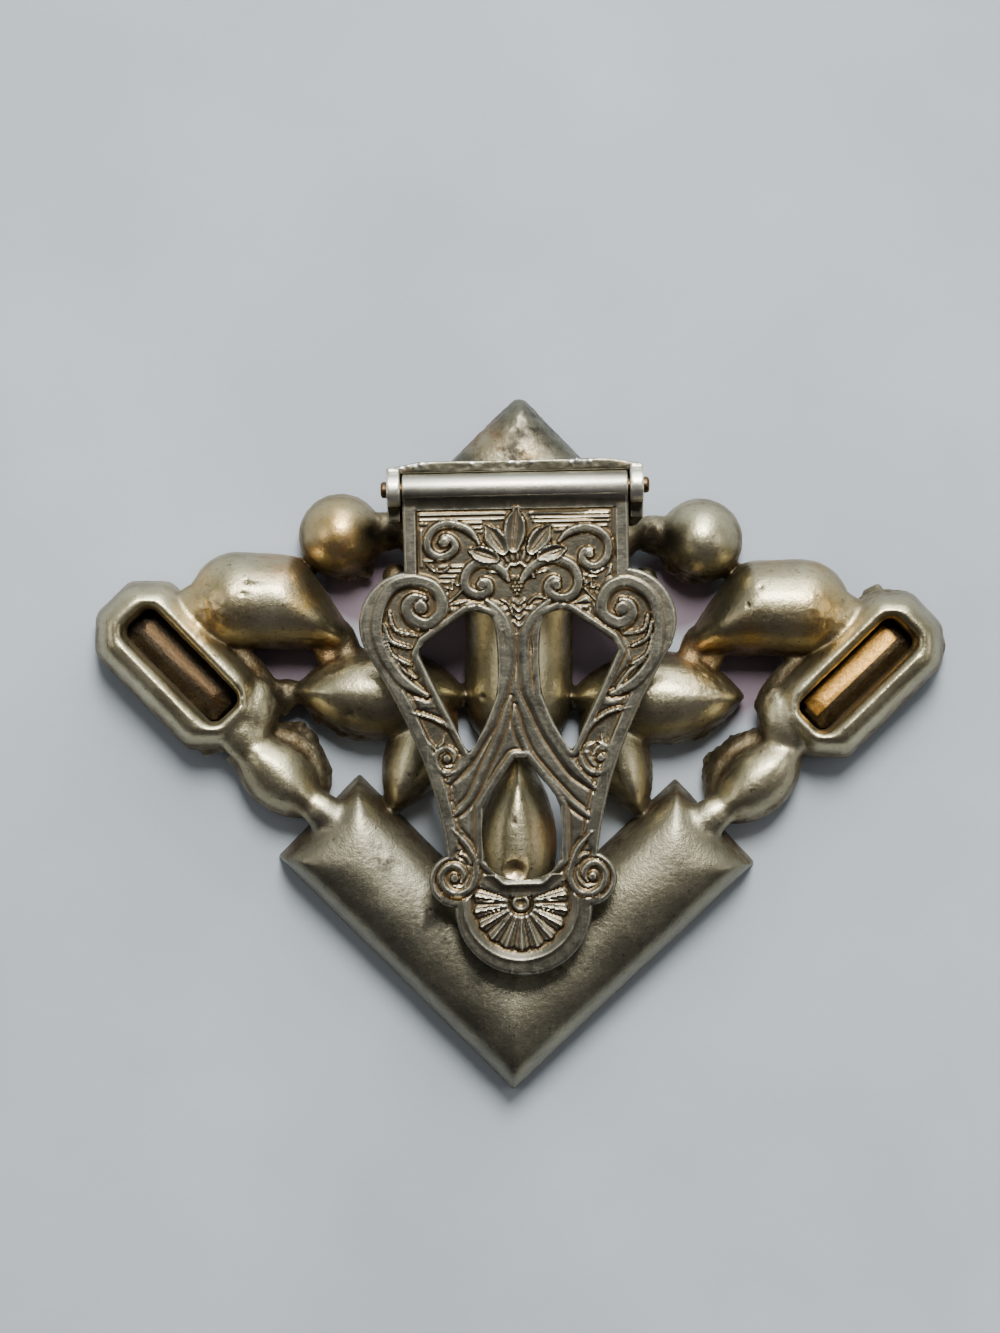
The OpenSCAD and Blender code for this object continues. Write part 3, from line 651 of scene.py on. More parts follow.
# %% The ornament's curves
# Each ridge: half width, height, points
RIDGES = [
    # panel volutes
    (0.39, 0.29, [(-2.74, -4.11), (-3.24, -3.36), (-3.97, -2.86), (-5.07, -2.61), (-6.00, -2.93),
        (-6.54, -3.73), (-6.45, -4.55), (-5.79, -5.04), (-4.97, -4.87), (-4.48, -4.29), (-4.80, -3.77),
        (-5.35, -3.61), (-5.69, -3.97)]),
    (0.41, 0.29, [(3.18, -4.01), (3.86, -3.43), (4.97, -3.08), (5.93, -3.25), (6.66, -3.86),
        (6.82, -4.68), (6.55, -5.48), (5.87, -5.99), (5.21, -5.82), (4.85, -5.30), (5.08, -4.79),
        (5.60, -4.72)]),
    # scrolls under the palmette
    (0.46, 0.32, [(-0.65, -6.89), (-0.94, -6.29), (-1.59, -5.76), (-2.55, -5.51), (-3.37, -5.83),
        (-3.82, -6.52), (-3.77, -7.34), (-3.26, -7.79), (-2.60, -7.88), (-2.07, -7.52), (-2.17, -7.00),
        (-2.68, -6.77)]),
    (0.46, 0.32, [(0.30, -7.05), (0.54, -6.61), (1.25, -5.82), (2.19, -5.39), (3.15, -5.41),
        (4.10, -5.88), (4.53, -6.70), (4.44, -7.51), (3.91, -8.13), (3.09, -8.26), (2.43, -7.84),
        (2.30, -7.32), (2.68, -6.84), (3.12, -6.85)]),
    # shoulder scrolls and their long arms
    (0.61, 0.32, [(-6.82, -15.26), (-7.91, -14.64), (-8.79, -13.96), (-9.93, -12.24), (-10.45, -10.52),
        (-10.31, -9.05), (-9.77, -7.80), (-8.94, -7.01), (-7.67, -6.74), (-6.21, -7.21), (-5.56, -8.26),
        (-5.73, -9.29), (-6.71, -10.01), (-7.81, -9.55), (-8.16, -8.65), (-7.63, -8.00), (-6.82, -8.09)]),
    (0.61, 0.32, [(6.86, -15.40), (7.90, -14.98), (8.80, -14.40), (9.94, -12.95), (10.46, -11.11),
        (10.38, -9.48), (9.75, -8.06), (8.29, -7.15), (6.95, -7.45), (6.26, -8.51), (6.39, -9.55),
        (7.49, -10.20), (8.39, -9.59), (8.25, -8.77), (7.67, -8.50)]),
    # feathers on the shoulders
    (0.22, 0.27, [(-9.89, -9.95), (-9.39, -11.21), (-7.93, -11.76)]),
    (0.20, 0.27, [(-9.90, -10.68), (-9.27, -12.25), (-7.95, -13.02)]),
    (0.19, 0.26, [(-9.34, -12.32), (-8.41, -13.45), (-7.53, -13.99)]),
    (0.20, 0.27, [(-9.50, -9.07), (-9.01, -10.41), (-7.46, -10.81)]),
    (0.20, 0.27, [(9.93, -9.99), (9.53, -11.31), (8.34, -11.95)]),
    (0.20, 0.27, [(9.98, -11.03), (9.51, -12.50), (8.31, -13.28)]),
    (0.20, 0.27, [(9.35, -12.86), (8.15, -13.80), (7.16, -15.11)]),
    (0.20, 0.27, [(9.64, -9.47), (9.25, -10.72), (7.69, -10.98)]),
    # ribs of the lyre
    (0.49, 0.24, [(-2.24, -8.33), (-1.59, -9.08), (-1.01, -9.91), (-0.71, -11.32), (-0.82, -12.94),
        (-1.26, -14.78), (-1.97, -16.77), (-3.19, -18.74), (-4.26, -20.41), (-5.32, -21.65)]),
    (0.49, 0.24, [(2.35, -8.43), (1.74, -9.08), (0.98, -9.88), (0.47, -11.35), (0.51, -12.97),
        (0.66, -14.82), (1.22, -16.17), (2.00, -17.88), (3.00, -19.53), (4.15, -21.11), (5.60, -22.47)]),
    (0.29, 0.22, [(-0.69, -15.54), (-1.48, -18.11), (-2.56, -20.45), (-3.72, -22.87), (-5.16, -24.31)]),
    (0.29, 0.22, [(-0.40, -16.21), (-0.14, -17.84), (0.63, -19.70), (1.78, -21.21), (2.94, -22.56),
        (3.95, -23.62), (5.62, -24.91)]),
    # leaves below the windows
    (0.20, 0.27, [(-8.25, -16.49), (-6.70, -16.89), (-5.24, -17.66), (-4.23, -18.71), (-3.95, -19.53)]),
    (0.19, 0.26, [(-8.25, -16.63), (-7.53, -17.68), (-6.89, -18.66), (-6.17, -19.41)]),
    (0.12, 0.16, [(-5.62, -18.09), (-5.71, -18.76), (-6.23, -19.19)]),
    (0.20, 0.27, [(8.39, -16.47), (6.91, -16.66), (5.56, -17.44), (4.57, -18.68), (4.33, -19.71)]),
    (0.19, 0.26, [(8.23, -17.13), (7.54, -18.15), (6.85, -19.32), (5.68, -18.92)]),
    (0.12, 0.16, [(5.98, -18.34), (6.12, -18.93), (6.55, -19.31)]),
    # small side scrolls
    (0.27, 0.27, [(-4.02, -19.53), (-4.19, -20.42), (-4.87, -20.99), (-5.68, -21.05), (-6.26, -20.37),
        (-6.17, -19.56), (-5.50, -19.21), (-4.91, -19.59), (-5.00, -20.25)]),
    (0.27, 0.27, [(4.40, -19.71), (4.61, -20.60), (5.26, -21.21), (6.15, -21.15), (6.75, -20.35),
        (6.48, -19.53), (5.81, -19.37), (5.36, -19.88)]),
    # scrolls at the foot
    (0.31, 0.30, [(-5.10, -25.20), (-4.45, -25.96), (-3.88, -26.78), (-3.53, -27.60), (-3.47, -28.56),
        (-3.94, -29.59), (-4.91, -30.01), (-5.79, -29.55), (-6.06, -28.66), (-5.61, -28.00),
        (-4.85, -27.96), (-4.42, -28.50), (-4.60, -29.10)]),
    (0.20, 0.27, [(-4.70, -26.99), (-4.18, -27.22), (-3.83, -27.82)]),
    (0.31, 0.30, [(5.17, -25.57), (4.26, -26.58), (3.72, -27.75), (3.47, -28.86), (3.97, -29.90),
        (4.92, -30.22), (5.82, -29.65), (6.06, -28.62), (5.49, -27.87), (4.82, -28.05), (4.50, -28.62),
        (4.75, -29.20)]),
    (0.20, 0.27, [(4.84, -27.19), (4.32, -27.40), (3.86, -27.98)]),
    # toothed leaves under the panel
    (0.11, 0.24, [(-5.74, -7.96), (-5.15, -7.80), (-5.32, -7.29), (-4.76, -7.43), (-4.75, -6.92),
        (-4.31, -7.18), (-4.12, -6.73)]),
    (0.13, 0.24, [(-5.50, -8.72), (-4.78, -8.18), (-4.01, -7.49)]),
    (0.11, 0.24, [(6.45, -8.04), (5.88, -7.85), (6.04, -7.40), (5.53, -7.52), (5.49, -7.01),
        (5.08, -7.25), (4.94, -6.75)]),
    (0.13, 0.24, [(6.18, -8.79), (5.61, -8.27), (4.95, -7.50)]),
    (0.13, 0.24, [(-6.70, -5.50), (-6.10, -6.05), (-5.40, -6.10), (-4.90, -5.70)]),
    (0.13, 0.24, [(6.50, -6.10), (5.80, -6.45), (5.11, -6.10)]),
    # small leaves where the ribs spring
    (0.14, 0.26, [(-1.25, -8.26), (-0.63, -8.65), (-0.32, -9.54)]),
    (0.14, 0.26, [(0.76, -8.68), (1.40, -8.11), (2.20, -8.33)]),
    # bars beside the lower window
    (0.10, 0.13, [(-5.18, -22.02), (-5.13, -23.06)]),
    (0.10, 0.13, [(5.82, -22.70), (5.57, -24.17)]),
    (0.10, 0.11, [(-5.09, -24.69), (-3.65, -26.49)]),
    (0.10, 0.11, [(5.40, -25.20), (3.73, -26.94)]),
]
# Each scroll's eye: x, y, its radius and that of the hollow round it
EYES = [(-5.32, -3.98, 0.41, 0.81), (5.38, -5.02, 0.37, 0.89), (-2.58, -7.14, 0.44, 0.89),
        (2.89, -7.26, 0.44, 0.96), (-7.16, -8.71, 0.55, 1.10), (7.73, -9.13, 0.55, 1.10),
        (-5.44, -19.95, 0.33, 0.67), (5.91, -20.11, 0.33, 0.67), (-5.05, -28.80, 0.34, 0.70),
        (5.15, -28.86, 0.34, 0.70)]
# Each leaf of the palmette: its foot, its tip and its half width
PETALS = [((-0.20, -4.40), (0.05, -1.70), 0.95), ((-1.00, -4.60), (-2.09, -2.95), 0.85),
          ((1.15, -4.60), (2.40, -3.00), 0.85), ((-1.61, -5.25), (-3.35, -4.65), 0.75),
          ((1.85, -5.15), (3.55, -4.62), 0.75)]
# Outlines of the sunken panels
SUNKEN = [
    [(-7.34, -1.35), (7.15, -1.50), (6.99, -5.71), (6.45, -6.89), (6.13, -7.91), (5.01, -8.19),
     (4.04, -8.54), (2.86, -8.59), (1.68, -8.41), (0.94, -8.69), (-0.06, -10.30), (-0.91, -8.65),
     (-1.50, -8.35), (-2.75, -8.32), (-3.86, -8.30), (-5.49, -8.56), (-5.98, -7.22), (-7.30, -6.30)],
    [(-10.09, -9.20), (-9.32, -7.59), (-7.54, -7.18), (-5.99, -7.66), (-5.35, -8.71), (-5.89, -9.88),
     (-6.87, -10.60), (-7.63, -11.77), (-8.02, -12.79), (-7.53, -13.91), (-6.81, -14.96),
     (-8.42, -14.04), (-9.64, -12.32), (-10.20, -10.68)],
    [(10.09, -9.62), (9.52, -8.13), (7.99, -7.51), (6.42, -7.92), (5.88, -8.94), (6.45, -10.14),
     (7.40, -10.75), (8.19, -11.88), (8.39, -12.99), (7.77, -14.23), (6.94, -15.18), (8.66, -14.33),
     (9.72, -12.80), (10.20, -11.11)],
    [(-7.88, -16.72), (-6.49, -17.26), (-5.25, -18.10), (-4.46, -19.23), (-5.94, -19.20),
     (-6.88, -18.36)],
    [(8.01, -16.75), (6.60, -17.17), (5.40, -17.96), (4.71, -19.12), (5.90, -18.85), (6.94, -18.73)],
]
# Hatching: the two ends of each line
LINES = [((-7.06, -1.94), (-0.85, -1.96)), ((-7.06, -2.28), (-0.93, -2.30)),
         ((-7.00, -2.61), (-6.63, -2.62)), ((-3.96, -2.60), (-2.56, -2.59)),
         ((-3.38, -2.95), (-2.57, -2.93)), ((-3.09, -3.28), (-2.57, -3.26)),
         ((1.08, -1.97), (6.84, -2.01)), ((1.22, -2.27), (6.84, -2.31)),
         ((1.36, -2.56), (6.83, -2.61)), ((2.76, -2.93), (6.68, -2.93)),
         ((2.97, -3.26), (3.71, -3.24)), ((-7.01, -3.06), (-7.02, -5.72)),
         ((6.81, -3.57), (6.72, -6.00)), ((-6.76, -5.35), (-5.35, -5.31)),
         ((-5.66, -5.82), (-4.03, -5.78)), ((-5.59, -6.19), (-3.96, -6.15)),
         ((-5.67, -6.56), (-4.56, -6.51)), ((-5.83, -6.92), (-4.79, -6.87)),
         ((4.90, -6.63), (5.86, -6.73)), ((4.74, -7.00), (5.55, -7.09))]
# The shell, the fan's middle, and the lever's three windows and its flank
SHELL_AT, SHELL_R, BUTTON_R = (-0.2, -30.75), 3.7, 0.78
SHELL_LIP = [(-3.41, -29.01), (-2.46, -29.62), (-1.58, -30.01), (-0.48, -30.33), (1.23, -30.07),
             (2.12, -29.72), (2.95, -29.14)]
ARCH_AT = (0.09, -6.75)
WINDOW_HALF = [(7.3, -12.2), (6.9, -11.4), (3.8, -9.25), (2.95, -9.15), (1.95, -9.6), (1.65, -10.8),
               (1.55, -12.9), (1.7, -15.25), (2.6, -17.5), (3.8, -19.45), (4.9, -17.25), (6.2, -14.6)]
FOOT_WINDOW = [(0.4, -20.1), (1.3, -21.3), (2.8, -23.6), (2.8, -27.5), (1.25, -28.9)]
FLANK = [(11.45, -11.7), (8.0, -17.3), (6.0, -22.3), (5.5, -27.8)]


def both_halves(points):
    return points + [(-x, y) for x, y in points[::-1]]


def bezier(a, b, c, d, n=12):
    a, b, c, d = (np.array(v) for v in (a, b, c, d))
    return [tuple((1 - t) ** 3 * a + 3 * (1 - t) ** 2 * t * b + 3 * (1 - t) * t * t * c + t ** 3 * d)
            for t in (i / n for i in range(n + 1))]


NECK_X, NECK_TOP, NECK_END = 8.35, 3, -10
FLANKS = both_halves([(8.0, -8.0)] + bezier(*FLANK) + [(4.0, -30.0)])
# Rounds that the outline also runs over: x, y and radius
ROUNDS = [(7.8, -10, 3.95), (-7.8, -10, 3.95), (4.95, -29, 2.0), (-4.95, -29, 2.0), (0, -31, 5.08)]
WINDOWS = [WINDOW_HALF, [(-x, y) for x, y in WINDOW_HALF], both_halves(FOOT_WINDOW)]
print("ridges", len(RIDGES), "eyes", len(EYES), "lines", len(LINES))

# %% [markdown]
# ### Measuring on the blank
#
# The die needs three measures at every point of the grid: how far it is from a curve,
# whether it lies inside an outline, and how deep. Numpy takes all the points at once.

# %% Distances
def smooth_line(points, n=5):
    """A curve that passes through all the points."""
    q = np.array([points[0]] + list(points) + [points[-1]], float)
    line = []
    for i in range(len(q) - 3):
        a, b, c, d = q[i:i + 4]
        for t in (k / n for k in range(n)):
            square_part, cube_part = 2 * a - 5 * b + 4 * c - d, 3 * b - a - 3 * c + d
            line.append(0.5 * (2 * b + (c - a) * t + square_part * t ** 2 + cube_part * t ** 3))
    return np.array(line + [q[-2]])


def distance(xy, line, closed=False):
    """Distance to a line of points, and how far along it (0 to 1) the nearest place is."""
    line = np.asarray(line, float)
    if closed:
        line = np.vstack([line, line[:1]])
    best, along = np.full(len(xy), 1e9), np.zeros(len(xy))
    for i in range(len(line) - 1):
        a, d = line[i], line[i + 1] - line[i]
        t = share(((xy - a) @ d) / max(d @ d, 1e-9))
        away = np.hypot(*(xy - a - t[:, None] * d).T)
        nearer = away < best
        best[nearer], along[nearer] = away[nearer], (i + t[nearer]) / (len(line) - 1)
    return best, along


def inside(xy, polygon):
    x, y = xy.T
    odd = np.zeros(len(xy), bool)
    for (x0, y0), (x1, y1) in zip(polygon, polygon[1:] + polygon[:1]):
        crosses = (y0 > y) != (y1 > y)
        odd ^= crosses & (x < (x1 - x0) * (y - y0) / ((y1 - y0) or 1e-9) + x0)
    return odd


def depth_in(xy, polygon):
    """Distance from a closed outline, positive inside it."""
    return distance(xy, polygon, closed=True)[0] * np.where(inside(xy, polygon), 1, -1)


def near(xy, points, margin):
    """Which points lie in the box round some others: it saves measuring the far ones."""
    q = np.asarray(points, float)
    return ((xy > q.min(0) - margin) & (xy < q.max(0) + margin)).all(1)


def lever_edge(xy):
    """Distance in from the lever's outline, which is several plain shapes run together."""
    depth = np.minimum(np.minimum(NECK_X - np.abs(xy[:, 0]), xy[:, 1] - NECK_END), NECK_TOP - xy[:, 1])
    depth = np.maximum(depth, depth_in(xy, FLANKS))
    for x, y, r in ROUNDS:
        depth = np.maximum(depth, r - np.hypot(xy[:, 0] - x, xy[:, 1] - y))
    return depth


# %% [markdown]
# ### Cutting the die
#
# The ground is flat, and a few panels of it are sunk deeper. Ridges with rounded tops
# rise from it, each between two fine grooves. The borders along the rim and round the
# windows stay flat, as they do on the real lever. At each point the highest form wins, so
# the forms can be drawn one after the other and may cross.

# %% Scrolls, ribs and leaves
TOP, GROUND = 0.4, 0.16
RIDGE_GROOVE, EYE_HIGH, EYE_RING = 0.09, 0.34, 0.10
LEAF_HIGH, LEAF_DISH, LEAF_RIB, LINE_HIGH = 0.36, 0.14, 0.05, 0.09


def mound(away, flat, foot, high):
    """Full height as far out as flat, and none from foot on."""
    return high * (1 - step(away, flat, foot))


def groove(away, at, wide, deep):
    return deep * np.exp(-((away - at) / wide) ** 2)


def lift(heights, some, to):
    """Raises some of the points to new heights, where those are higher."""
    heights[some] = np.maximum(heights[some], to)


def raise_scrolls(xy, up, cut):
    for half, high, points in RIDGES:
        line = smooth_line(points)
        some = near(xy, line, 1.0)
        away, along = distance(xy[some], line)
        thin = half * (0.45 + 0.55 * step(np.minimum(along, 1 - along), 0, 0.12))
        lift(up, some, mound(away, 0.5 * thin, thin, 0.9 * high))
        lift(cut, some, groove(away - 1.1 * thin, 0.06, 0.10, RIDGE_GROOVE))
    for x, y, eye, hollow in EYES:
        away = np.hypot(xy[:, 0] - x, xy[:, 1] - y)
        lift(up, ..., mound(away, 0.75 * eye, 1.1 * eye, EYE_HIGH))
        lift(cut, ..., groove(away, (eye + hollow) / 2, 0.33 * (hollow - eye), EYE_RING))


def raise_leaves(xy, up, cut):
    for base, tip, wide in PETALS:
        some = near(xy, [base, tip], 1.5)
        away, along = distance(xy[some], [base, tip])
        swell = np.sqrt(share(np.sin(math.pi * share(0.12 + 0.8 * along))))
        thin = wide * swell * (1 - 0.35 * step(along, 0.7, 1))
        leaf = mound(away, 0.75 * thin, thin, LEAF_HIGH) - mound(away, 0.1 * thin, 0.75 * thin, LEAF_DISH)
        lift(up, some, leaf + mound(away, 0.0, 0.12, LEAF_RIB))
        lift(cut, some, groove(away - thin, 0.1, 0.1, 0.10))
    for a, b in LINES:
        some = near(xy, [a, b], 0.3)
        away, _ = distance(xy[some], [a, b])
        lift(up, some, mound(away, 0.04, 0.13, LINE_HIGH))


# %% Fan, beads and small chevrons under the palmette
FAN_IN, FAN_OUT, FAN_FROM, FAN_TO = 1.25, 2.4, 12, 168
BEAD_ROWS, BEAD_X, BEAD_Y, BEAD_TOP = 5, 0.30, 0.29, -6.75


def raise_fan(xy, up):
    dx, dy = xy[:, 0] - ARCH_AT[0], xy[:, 1] - ARCH_AT[1]
    r, a = np.hypot(dx, dy), np.degrees(np.arctan2(dy, dx))
    fan = (r > FAN_IN) & (r < FAN_OUT) & (a > FAN_FROM) & (a < FAN_TO)
    pleats = 0.17 * (0.5 + 0.5 * np.cos(np.radians(a * 24))) * step(r, FAN_IN, 1.5)
    lift(up, ..., np.where(fan, mound(r, 2.0, FAN_OUT, pleats), 0))
    wavy = np.abs(r - 1.1 - 0.06 * np.cos(np.radians(a * 9)))
    lift(up, ..., np.where(a > 0, mound(wavy, 0.08, 0.2, 0.24), 0))


def raise_beads(xy, up):
    for row in range(BEAD_ROWS):
        for k in range(-1, 2):
            x, y = k * BEAD_X + (row % 2) * 0.15, BEAD_TOP - row * BEAD_Y
            if abs(x) < 0.62 - row * 0.09:
                lift(up, ..., mound(np.hypot(xy[:, 0] - x, xy[:, 1] - y), 0.04, 0.19, 0.26))
    for y in (-8.6, -9.1, -9.65, -10.2):
        some = near(xy, [(0.1, y)], 0.7)
        away, _ = distance(xy[some], [(-0.3, y + 0.25), (0.1, y - 0.12), (0.5, y + 0.25)])
        lift(up, some, mound(away, 0.04, 0.15, 0.14))


# %% [markdown]
# ### The shell
#
# At the lever's foot a shell of flutes widens from a button, inside a dished ring. The
# ring is what a thumb pushes on, so it has no ornament.

# %% The shell and its ring
def shell_and_ring(xy):
    """The height of the foot, and which points it covers."""
    dx, dy = xy[:, 0] - SHELL_AT[0], xy[:, 1] - SHELL_AT[1]
    r, a = np.hypot(dx, dy), np.degrees(np.arctan2(dx, -dy))
    scallop = SHELL_R - 0.45 + 0.25 * np.abs(np.cos(np.radians(a * 9)))
    flute = 0.18 + (0.03 + 0.04 * step(r, 1.2, 3.0)) * np.cos(np.radians(a * 18))
    flute = flute + 0.04 * np.cos(np.radians(a * 54)) * step(r, 1.0, 1.6)
    flute = mound(r, scallop - 0.1, scallop + 0.05, flute * step(r, 0.8, 1.1))
    button = mound(r, 0.55, BUTTON_R, 0.34) - mound(r, 0.15, 0.45, 0.16)
    ring = 0.04 + 0.30 * step(r, SHELL_R - 0.05, SHELL_R + 0.55)
    ring = ring - 0.05 * step(r, SHELL_R + 0.5, SHELL_R + 0.8)
    under_lip = xy[:, 1] < np.interp(xy[:, 0], *np.transpose(SHELL_LIP)) - 0.05
    use = under_lip & (r < SHELL_R + 2.2) & (xy[:, 1] < -29.3 + 0.25 * (np.abs(xy[:, 0]) < 3.2))
    use &= np.hypot(np.abs(xy[:, 0]) - 4.75, xy[:, 1] + 29.0) > 1.5
    return np.where(r < SHELL_R - 0.05, np.maximum(flute, button) - 0.04, ring), use


# %% The height of the stamped face
ROLL_R, ROLL_Y, ROLL_TOP, ROLL_END = 1.5, 1.567, 2.1, -1.6


def stamped(xy):
    x, y = xy.T
    up, cut = np.zeros(len(xy)), np.zeros(len(xy))
    raise_scrolls(xy, up, cut)
    raise_leaves(xy, up, cut)
    raise_fan(xy, up)
    raise_beads(xy, up)
    ground = np.full(len(xy), GROUND)
    for polygon in SUNKEN:
        some = near(xy, polygon, 0.5)
        sunk = GROUND * (1 - step(depth_in(xy[some], polygon), -0.12, 0.12)) - 0.04
        ground[some] = np.minimum(ground[some], sunk)
    hole = np.min([-depth_in(xy, w) for w in WINDOWS], axis=0)
    edge = lever_edge(xy)

    brim = 1.0 - 0.55 * step(-y, 26.0, 27.2) * step(np.abs(x), 2.5, 3.5)
    border = np.maximum(mound(edge, brim - 0.1, brim + 0.1, step(edge, -0.1, 0.05)),
                        mound(hole, 0.5, 0.68, step(hole, -0.1, 0.02)))
    border *= 1 - step(y, -1.8, -1.5) * (np.abs(x) < 7.0)
    lift(cut, ..., groove(edge, 1.26, 0.10, 0.12) * (y > -27))
    lift(cut, ..., groove(hole, 0.76, 0.09, 0.06) * (1 - step(-y, 12.0, 14.0) * (y > -19)))
    height = np.maximum(ground - cut * (up < 0.12), up)
    height = np.maximum(height, border * (GROUND + 0.07))

    foot, use = shell_and_ring(xy)
    height = np.where(use, foot, height)
    height += 0.12 * mound(hole, 0.7, 1.0, step(hole, 0.15, 0.4)) * (y < -28.6) * ~use
    roll = ROLL_TOP - np.sqrt(np.clip(ROLL_R ** 2 - (y + ROLL_Y) ** 2, 0, None)) - TOP
    height = np.where(y > ROLL_END, np.maximum(height, roll), height)
    return TOP + height - 0.22 * mound(np.minimum(edge, hole), -0.02, 0.22, 1) ** 2


# %% Press the blank and cut it out
GRID, GRID_HALF, GRID_AT, BACK_Z = (262, 392), (11.9, 18.0, 1), (0, -18.2, 0), -0.4


def lever_blank():
    only()
    bpy.ops.mesh.primitive_grid_add(x_subdivisions=GRID[0], y_subdivisions=GRID[1], size=2)
    grid = bpy.context.object
    co = places_of(grid) * GRID_HALF + GRID_AT
    co[:, 2] = stamped(co[:, :2])
    co[:, 2] += 0.012 * grain(co, 0.9, 6) + 0.006 * grain(co, 0.25, 7)
    move_to(grid, co)
    bpy.ops.object.mode_set(mode="EDIT")
    bpy.ops.mesh.select_mode(type="EDGE")
    bpy.ops.mesh.select_all(action="DESELECT")
    bpy.ops.mesh.select_non_manifold()
    bpy.ops.mesh.extrude_edges_move(TRANSFORM_OT_translate={"value": (0, 0, -0.5)})
    bpy.ops.transform.resize(value=(1, 1, 0))
    bpy.ops.mesh.edge_face_add()
    bpy.ops.mesh.select_mode(type="VERT")
    bpy.ops.object.mode_set(mode="OBJECT")
    co = places_of(grid)
    co[np.array([v.select for v in grid.data.vertices]), 2] = BACK_Z
    move_to(grid, co)
    outward(grid)
    return grid


def prism(name, outline, low=-3, high=3):
    return pull_up(name, [(low, outline), (high, outline)])


blank = lever_blank()
outline = prism("neck", [(NECK_X, -0.6), (-NECK_X, -0.6), (-NECK_X, NECK_END), (NECK_X, NECK_END)])
carve(outline, prism("flanks", FLANKS), "UNION")
for x, y, r in ROUNDS:
    carve(outline, place(prism("round", circle(r, 96)), (x, y, 0)), "UNION")
for points in (WINDOWS[0], WINDOWS[1][::-1], WINDOWS[2]):
    rounded = [tuple(q) for q in smooth_line(points + [points[0]], 4)[:-1]]
    carve(outline, prism("lever window", rounded))
carve(blank, outline, "INTERSECT")
print("blank", triangles(blank), "triangles")

# %% [markdown]
# The sheet's top edge is rolled round the pin. The roll is a bar, bored right through.

# %% The rolled barrel
lever_barrel = rod("barrel", -NECK_X, NECK_X, 1.12, 96)
apply_modifier(lever_barrel, "BEVEL", width=0.12, segments=3)
lever = join("stamped_lever", [blank, lever_barrel])
carve(lever, rod("bore", -12, 12, BORE_R))
at_hinge(lever)
print("lever", triangles(lever), "triangles")

# %% [markdown]
# ## The pin and the foils
#
# The pin is a plain rod whose ends were hammered over a little. Through each window of
# the baguette cups the foil on the stone's back shows: a hipped roof of thin metal leaf,
# pressed onto the facets.

# %% Make the pin and the foils
PIN_HALF, PIN_R = 9.95, 0.6
FOIL_RINGS, FOIL_THICK = [(1.3, 0.93), (2.65, 2.3), (3.2, 3.62)], 0.04
pin = rod("pin", -PIN_HALF, PIN_HALF, PIN_R)
apply_modifier(pin, "BEVEL", width=0.22, segments=4, limit_method="ANGLE")
at_hinge(pin)


def foil(name):
    leaf = ringed(name, FOIL_RINGS, lambda k: octagon(*BAGUETTE, k))
    only(leaf)
    bpy.ops.object.mode_set(mode="EDIT")
    bpy.ops.mesh.select_mode(type="FACE")
    bpy.ops.mesh.select_all(action="DESELECT")
    bpy.ops.object.mode_set(mode="OBJECT")
    for face in leaf.data.polygons:
        face.select = face.normal.z < -0.9
    bpy.ops.object.mode_set(mode="EDIT")
    bpy.ops.mesh.delete(type="FACE")
    bpy.ops.mesh.select_all(action="SELECT")
    bpy.ops.mesh.subdivide(number_cuts=12)
    bpy.ops.mesh.select_mode(type="VERT")
    bpy.ops.object.mode_set(mode="OBJECT")
    co, out = places_of(leaf), directions(leaf)
    move_to(leaf, co + out * (0.012 * grain(co, 0.5, 8))[:, None])
    apply_modifier(leaf, "SOLIDIFY", thickness=FOIL_THICK, offset=1)
    return place(leaf, (*BAGUETTE_AT, 0), 45)


foil_right = foil("foil_right")
foil_left = mirrored("foil_left", foil_right)
print("each foil", triangles(foil_left), "triangles")

# %% [markdown]
# ## Wear and painted shade, kept on the points
#
# Old plated metal tells where it was touched: brown in the hollows, copper where the wash
# has gone, dark where it was stained. The edges are pale, partly from rubbing and partly as
# a painted highlight. Some of it is painted shade: walls that face away from the window are
# browner, and the chevron is darker and duller. Hollows and edges are measured from the
# mesh itself: a point whose neighbours rise above it lies in a hollow.
# The rest are soft spots at the places that the photograph shows.

# %% Where the casting is worn and stained
# Each place: x, y and radius
COPPER = [(-18.0, 13.0, 1.4), (-13.0, 14.6, 1.4), (0.0, -9.4, 0.9), (-5.3, 2.2, 1.2), (2.3, -6.6, 1.3),
          (-2.4, 22.6, 1.6), (0.6, 21.6, 1.2), (13.2, 7.2, 1.1), (-14.4, 6.9, 0.9)]
GOLD = [(-13.6, 15.6, 3.2), (-23.2, 9.4, 2.6), (22.8, 10.0, 3.0), (-9.9, 14.1, 1.6), (-15.0, 6.6, 1.5),
        (14.6, 6.2, 2.2), (19.0, 15.0, 1.6), (-24.0, 12.0, 1.6), (23.0, 14.4, 1.6), (-16.0, 10.4, 1.4),
        (17.4, 8.0, 1.8)]
STAIN = [(x, y, 0.28) for x, y, r, deep in PITS[:6]] + [
    (-10.3, 15.8, 1.9), (10.2, 15.7, 1.9), (-17.9, 3.4, 1.5), (18.6, 2.6, 1.2), (0.6, 23.6, 1.6),
    (-6.8, -12.9, 1.7), (-5.2, -15.6, 2.2), (-3.2, -18.5, 1.4), (13.4, 13.4, 1.6), (9.8, 16.4, 1.4),
    (9.2, 19.2, 1.3), (3.0, -16.0, 2.0), (-10.0, -9.0, 1.5), (21.6, 3.5, 1.2), (-12.3, 2.4, 1.2),
    (-0.5, 19.9, 5.0), (-0.1, -9.0, 0.5), (1.4, 22.4, 1.1)]
SOOT = [(-10.8, 15.9, 1.3), (10.7, 15.7, 1.3), (-9.6, 15.9, 1.3), (9.6, 15.9, 1.3), (-8.8, 13.0, 0.9),
        (8.8, 13.0, 0.9)]
NOTCH_SIDE = 0.15  # a normal that points north by more than this is on the chevron's inner side


def keep(obj, name, values):
    layer = obj.data.attributes.new(name, "FLOAT", "POINT")
    layer.data.foreach_set("value", share(values).astype(np.float32))


